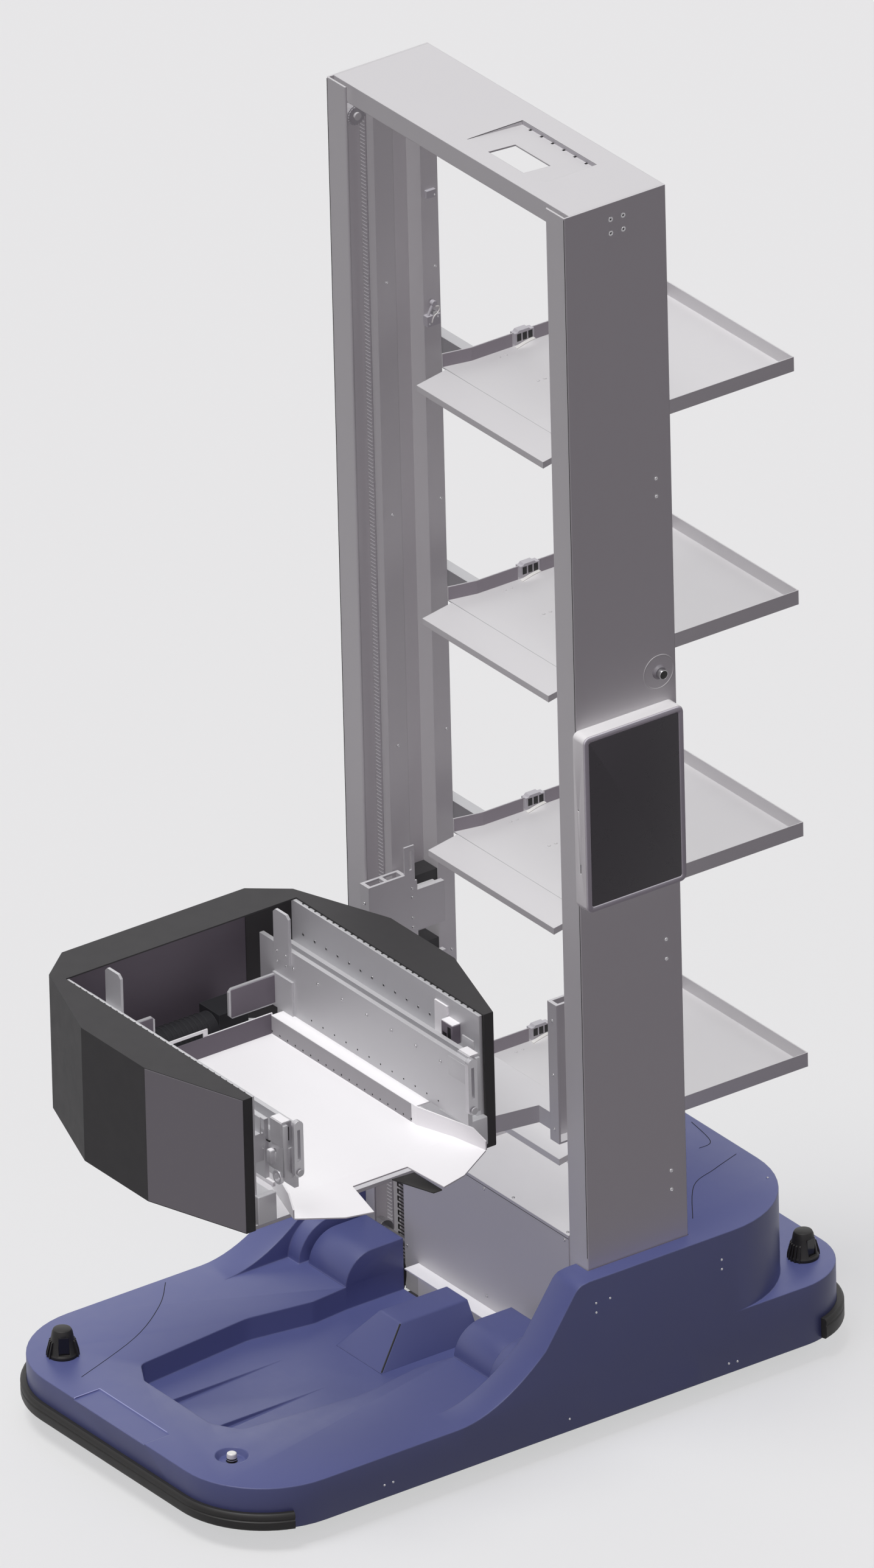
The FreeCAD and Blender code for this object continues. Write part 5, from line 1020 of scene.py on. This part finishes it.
arm_aluminium = finish("arm_aluminium", "CACACC", 0.44, 0.25, wear_and_sheen_colour="ECECEC", wear_and_sheen_amount=0.5, drift=0.02,
                       brushed=(30, 500, 900), grain_depth=0.00001)
finger_steel = finish("finger_steel", "C6C5C8", 0.34, 0.55, wear_and_sheen_colour="E8E8E9", grain_depth=0.00001)
plate_face, inner_face, pusher_face = 269.7, 204, 198.9
hole_rim = ((0, 2.4), (0, 4.0), (0.6, 3.6), (0.6, 2.4))


def at(side, out):
    """Place across the robot of a point this far out from the middle of the fork."""
    return fork_middle + side * out


def bar(side, inner, outer, *reach):
    """Block between two distances out from the middle of the fork."""
    return block(*sorted((at(side, inner), at(side, outer))), *reach)


def arm_piece(name, form, material, body, slot="arm_aluminium", width=0, segments=2):
    """One form as a piece, with its edges rounded by the width."""
    piece = made(name, form)
    return fit(soften(piece, width, segments) if width else piece, material, body, slot)


for name, side in both_sides:
    inner = "arm_inner_" + name
    inward = (-side, 0, 0)
    dress(arm_aluminium, "arm_plate_" + name, "arm_mid_" + name, inner)
    dress(finger_steel, "tip_finger_" + name)
    plate_holes = [(at(side, plate_face), 262 - 38.75 * k, 893) for k in range(13)]
    studs("arm_plate_holes_" + name, plate_holes, inward, ((-0.2, 2.2), (0.25, 2.2)), dark_gap, "fork",
          "arm_aluminium", 12)
    rims = [hoop((y, z), [(x - side * h, r) for h, r in hole_rim], "x", 16) for x, y, z in plate_holes]
    fit_many("arm_plate_hole_rims_" + name, rims, bright_steel, "fork", "arm_aluminium")
    clips = [rod((at(side, 276.2), 268 - 20.5 * k), 2.6, 950, 957.8, "z", 12) for k in range(29)]
    fit_many("rim_clips_" + name, clips, black_moulding, "fork", "arm_aluminium")
    screws("inner_screws_" + name, [(at(side, inner_face), 204 - 82.3 * k, 862) for k in range(7)], inward,
           3.8, inner, "arm_aluminium")
    studs("inner_holes_" + name, [(at(side, inner_face), 147 - 38.8 * k, 771) for k in range(12)], inward,
          ((-0.2, 1.9), (0.15, 1.9)), dark_gap, inner, "arm_aluminium", 12)
    screws("pusher_screws_" + name, [(at(side, pusher_face), y, z) for z in (862, 885) for y in (222, 252)],
           inward, 2.8, inner, "arm_aluminium")
    bracket = merge(bar(side, 214, 236, -378, -374, 780, 846), bar(side, 203.2, 204, -377, -318, 846, 888))
    arm_piece("tip_bracket_" + name, bracket, arm_aluminium, inner, width=0.7)
    screws("tip_screws_" + name, [(at(side, 228), -378, z) for z in (788, 812, 838)], (0, -1, 0), 2.6, inner,
           "arm_aluminium")
    cord("tip_link_" + name, [(at(side, 226), -366, 852), (at(side, 226), -366, 800),
                              (at(side, 219), -366, 790)], 2.2, bright_steel, inner)
    cord("tip_lead_" + name, [(at(side, 234), -340, 856), (at(side, 236), -330, 846),
                              (at(side, 236), -200, 845), (at(side, 236), 120, 845)], 1.6, black_moulding,
         inner)
    # A dark grey sheet on the pusher's face is painted shade, darker than the aluminium it covers.
    arm_piece("pusher_painted_shade_" + name, bar(side, 94, 201, 262.7, 264.1, 765, 825), grey_and_painted_shade, inner, width=0.6)
    cheek = made("tip_cheek_" + name, bar(side, 231, 234, -376, -323, 790, 871))
    cut_away(cheek, rod((-345, 832), 5, at(side, 232.5) - 4, at(side, 232.5) + 4, "x", 24))
    join_on(cheek, bar(side, 226, 236, -380, -374.2, 786, 899), bar(side, 233, 245, -345, -332, 806, 832))
    fit(soften(cheek, 0.7), arm_aluminium, inner, "arm_aluminium")
    ring = [(at(side, out), radius) for out, radius in ((228, 9), (228, 14), (229, 15), (235, 15), (236, 14),
                                                        (236, 9))]
    arm_piece("tip_ring_" + name, hoop((-352, 776), ring, "x", 32), finger_steel, inner)
    slide = merge(bar(side, 229, 235, -337, -270, 748, 758),
                  bar(side, 234, 244, -344.6, -332.4, 831.9, 833.4))
    arm_piece("tip_slide_" + name, slide, fork_white, inner, width=0.8)
    arm_piece("tip_actuator_lid_" + name, bar(side, 216, 236, -373.9, -337, 903, 905), fork_white, inner)
    arm_piece("tip_actuator_window_" + name, bar(side, 220, 232, -374.4, -373.8, 862, 892), dark_gap, inner)
    bracket = join_on(made("plate_bracket_" + name, bar(side, 255, 258, -330, -293, 868, 906)),
                      bar(side, 255, 269.9, -330, -293, 867.5, 870.5))
    fit(soften(bracket, 0.6), arm_aluminium, "fork", "arm_aluminium")
    arm_piece("plate_sensor_" + name, bar(side, 250, 269.9, -268, -230, 872, 914), grey_and_painted_shade, "fork",
              "black_plastic", 1.5, 3)
    lids = merge(bar(side, 250.4, 269.6, -267.6, -230.4, 913.8, 916),
                 bar(side, 266, 269.9, -228, -186, 868, 937))
    arm_piece("plate_sensor_lid_" + name, lids, fork_white, "fork", "black_plastic")
    panes = merge(bar(side, 249.4, 250.4, -262, -252, 880, 908),
                  bar(side, 249.4, 250.4, -248, -236, 884, 892))
    arm_piece("plate_sensor_window_" + name, panes, dark_gap, "fork", "black_plastic")
    arm_piece("plate_foot_cover_" + name, bar(side, 232, 276, -344, -330, 678, 740), arm_aluminium, "fork",
              width=2.0, segments=3)


# Extending motor. A round geared motor lies across the closed end of the fork and drives
# both arms; its body and gearbox are painted dark.

dress(motor_paint, "extend_motor")
screws("gearbox_screws", [(fork_middle + x, 320, z) for z in (682, 758) for x in (88, 142)], (0, 1, 0), 3.0,
       "fork", "motor_steel")
ribs = []
for x in range(fork_middle - 122, fork_middle + 70, 12):
    ribs.append(hoop((320, 725), [(x, 33.9), (x, 35.2), (x + 3, 35.2), (x + 3, 33.9)], "x", 48))
fit_many("extend_motor_ribs", ribs, motor_paint, "fork", "motor_steel")
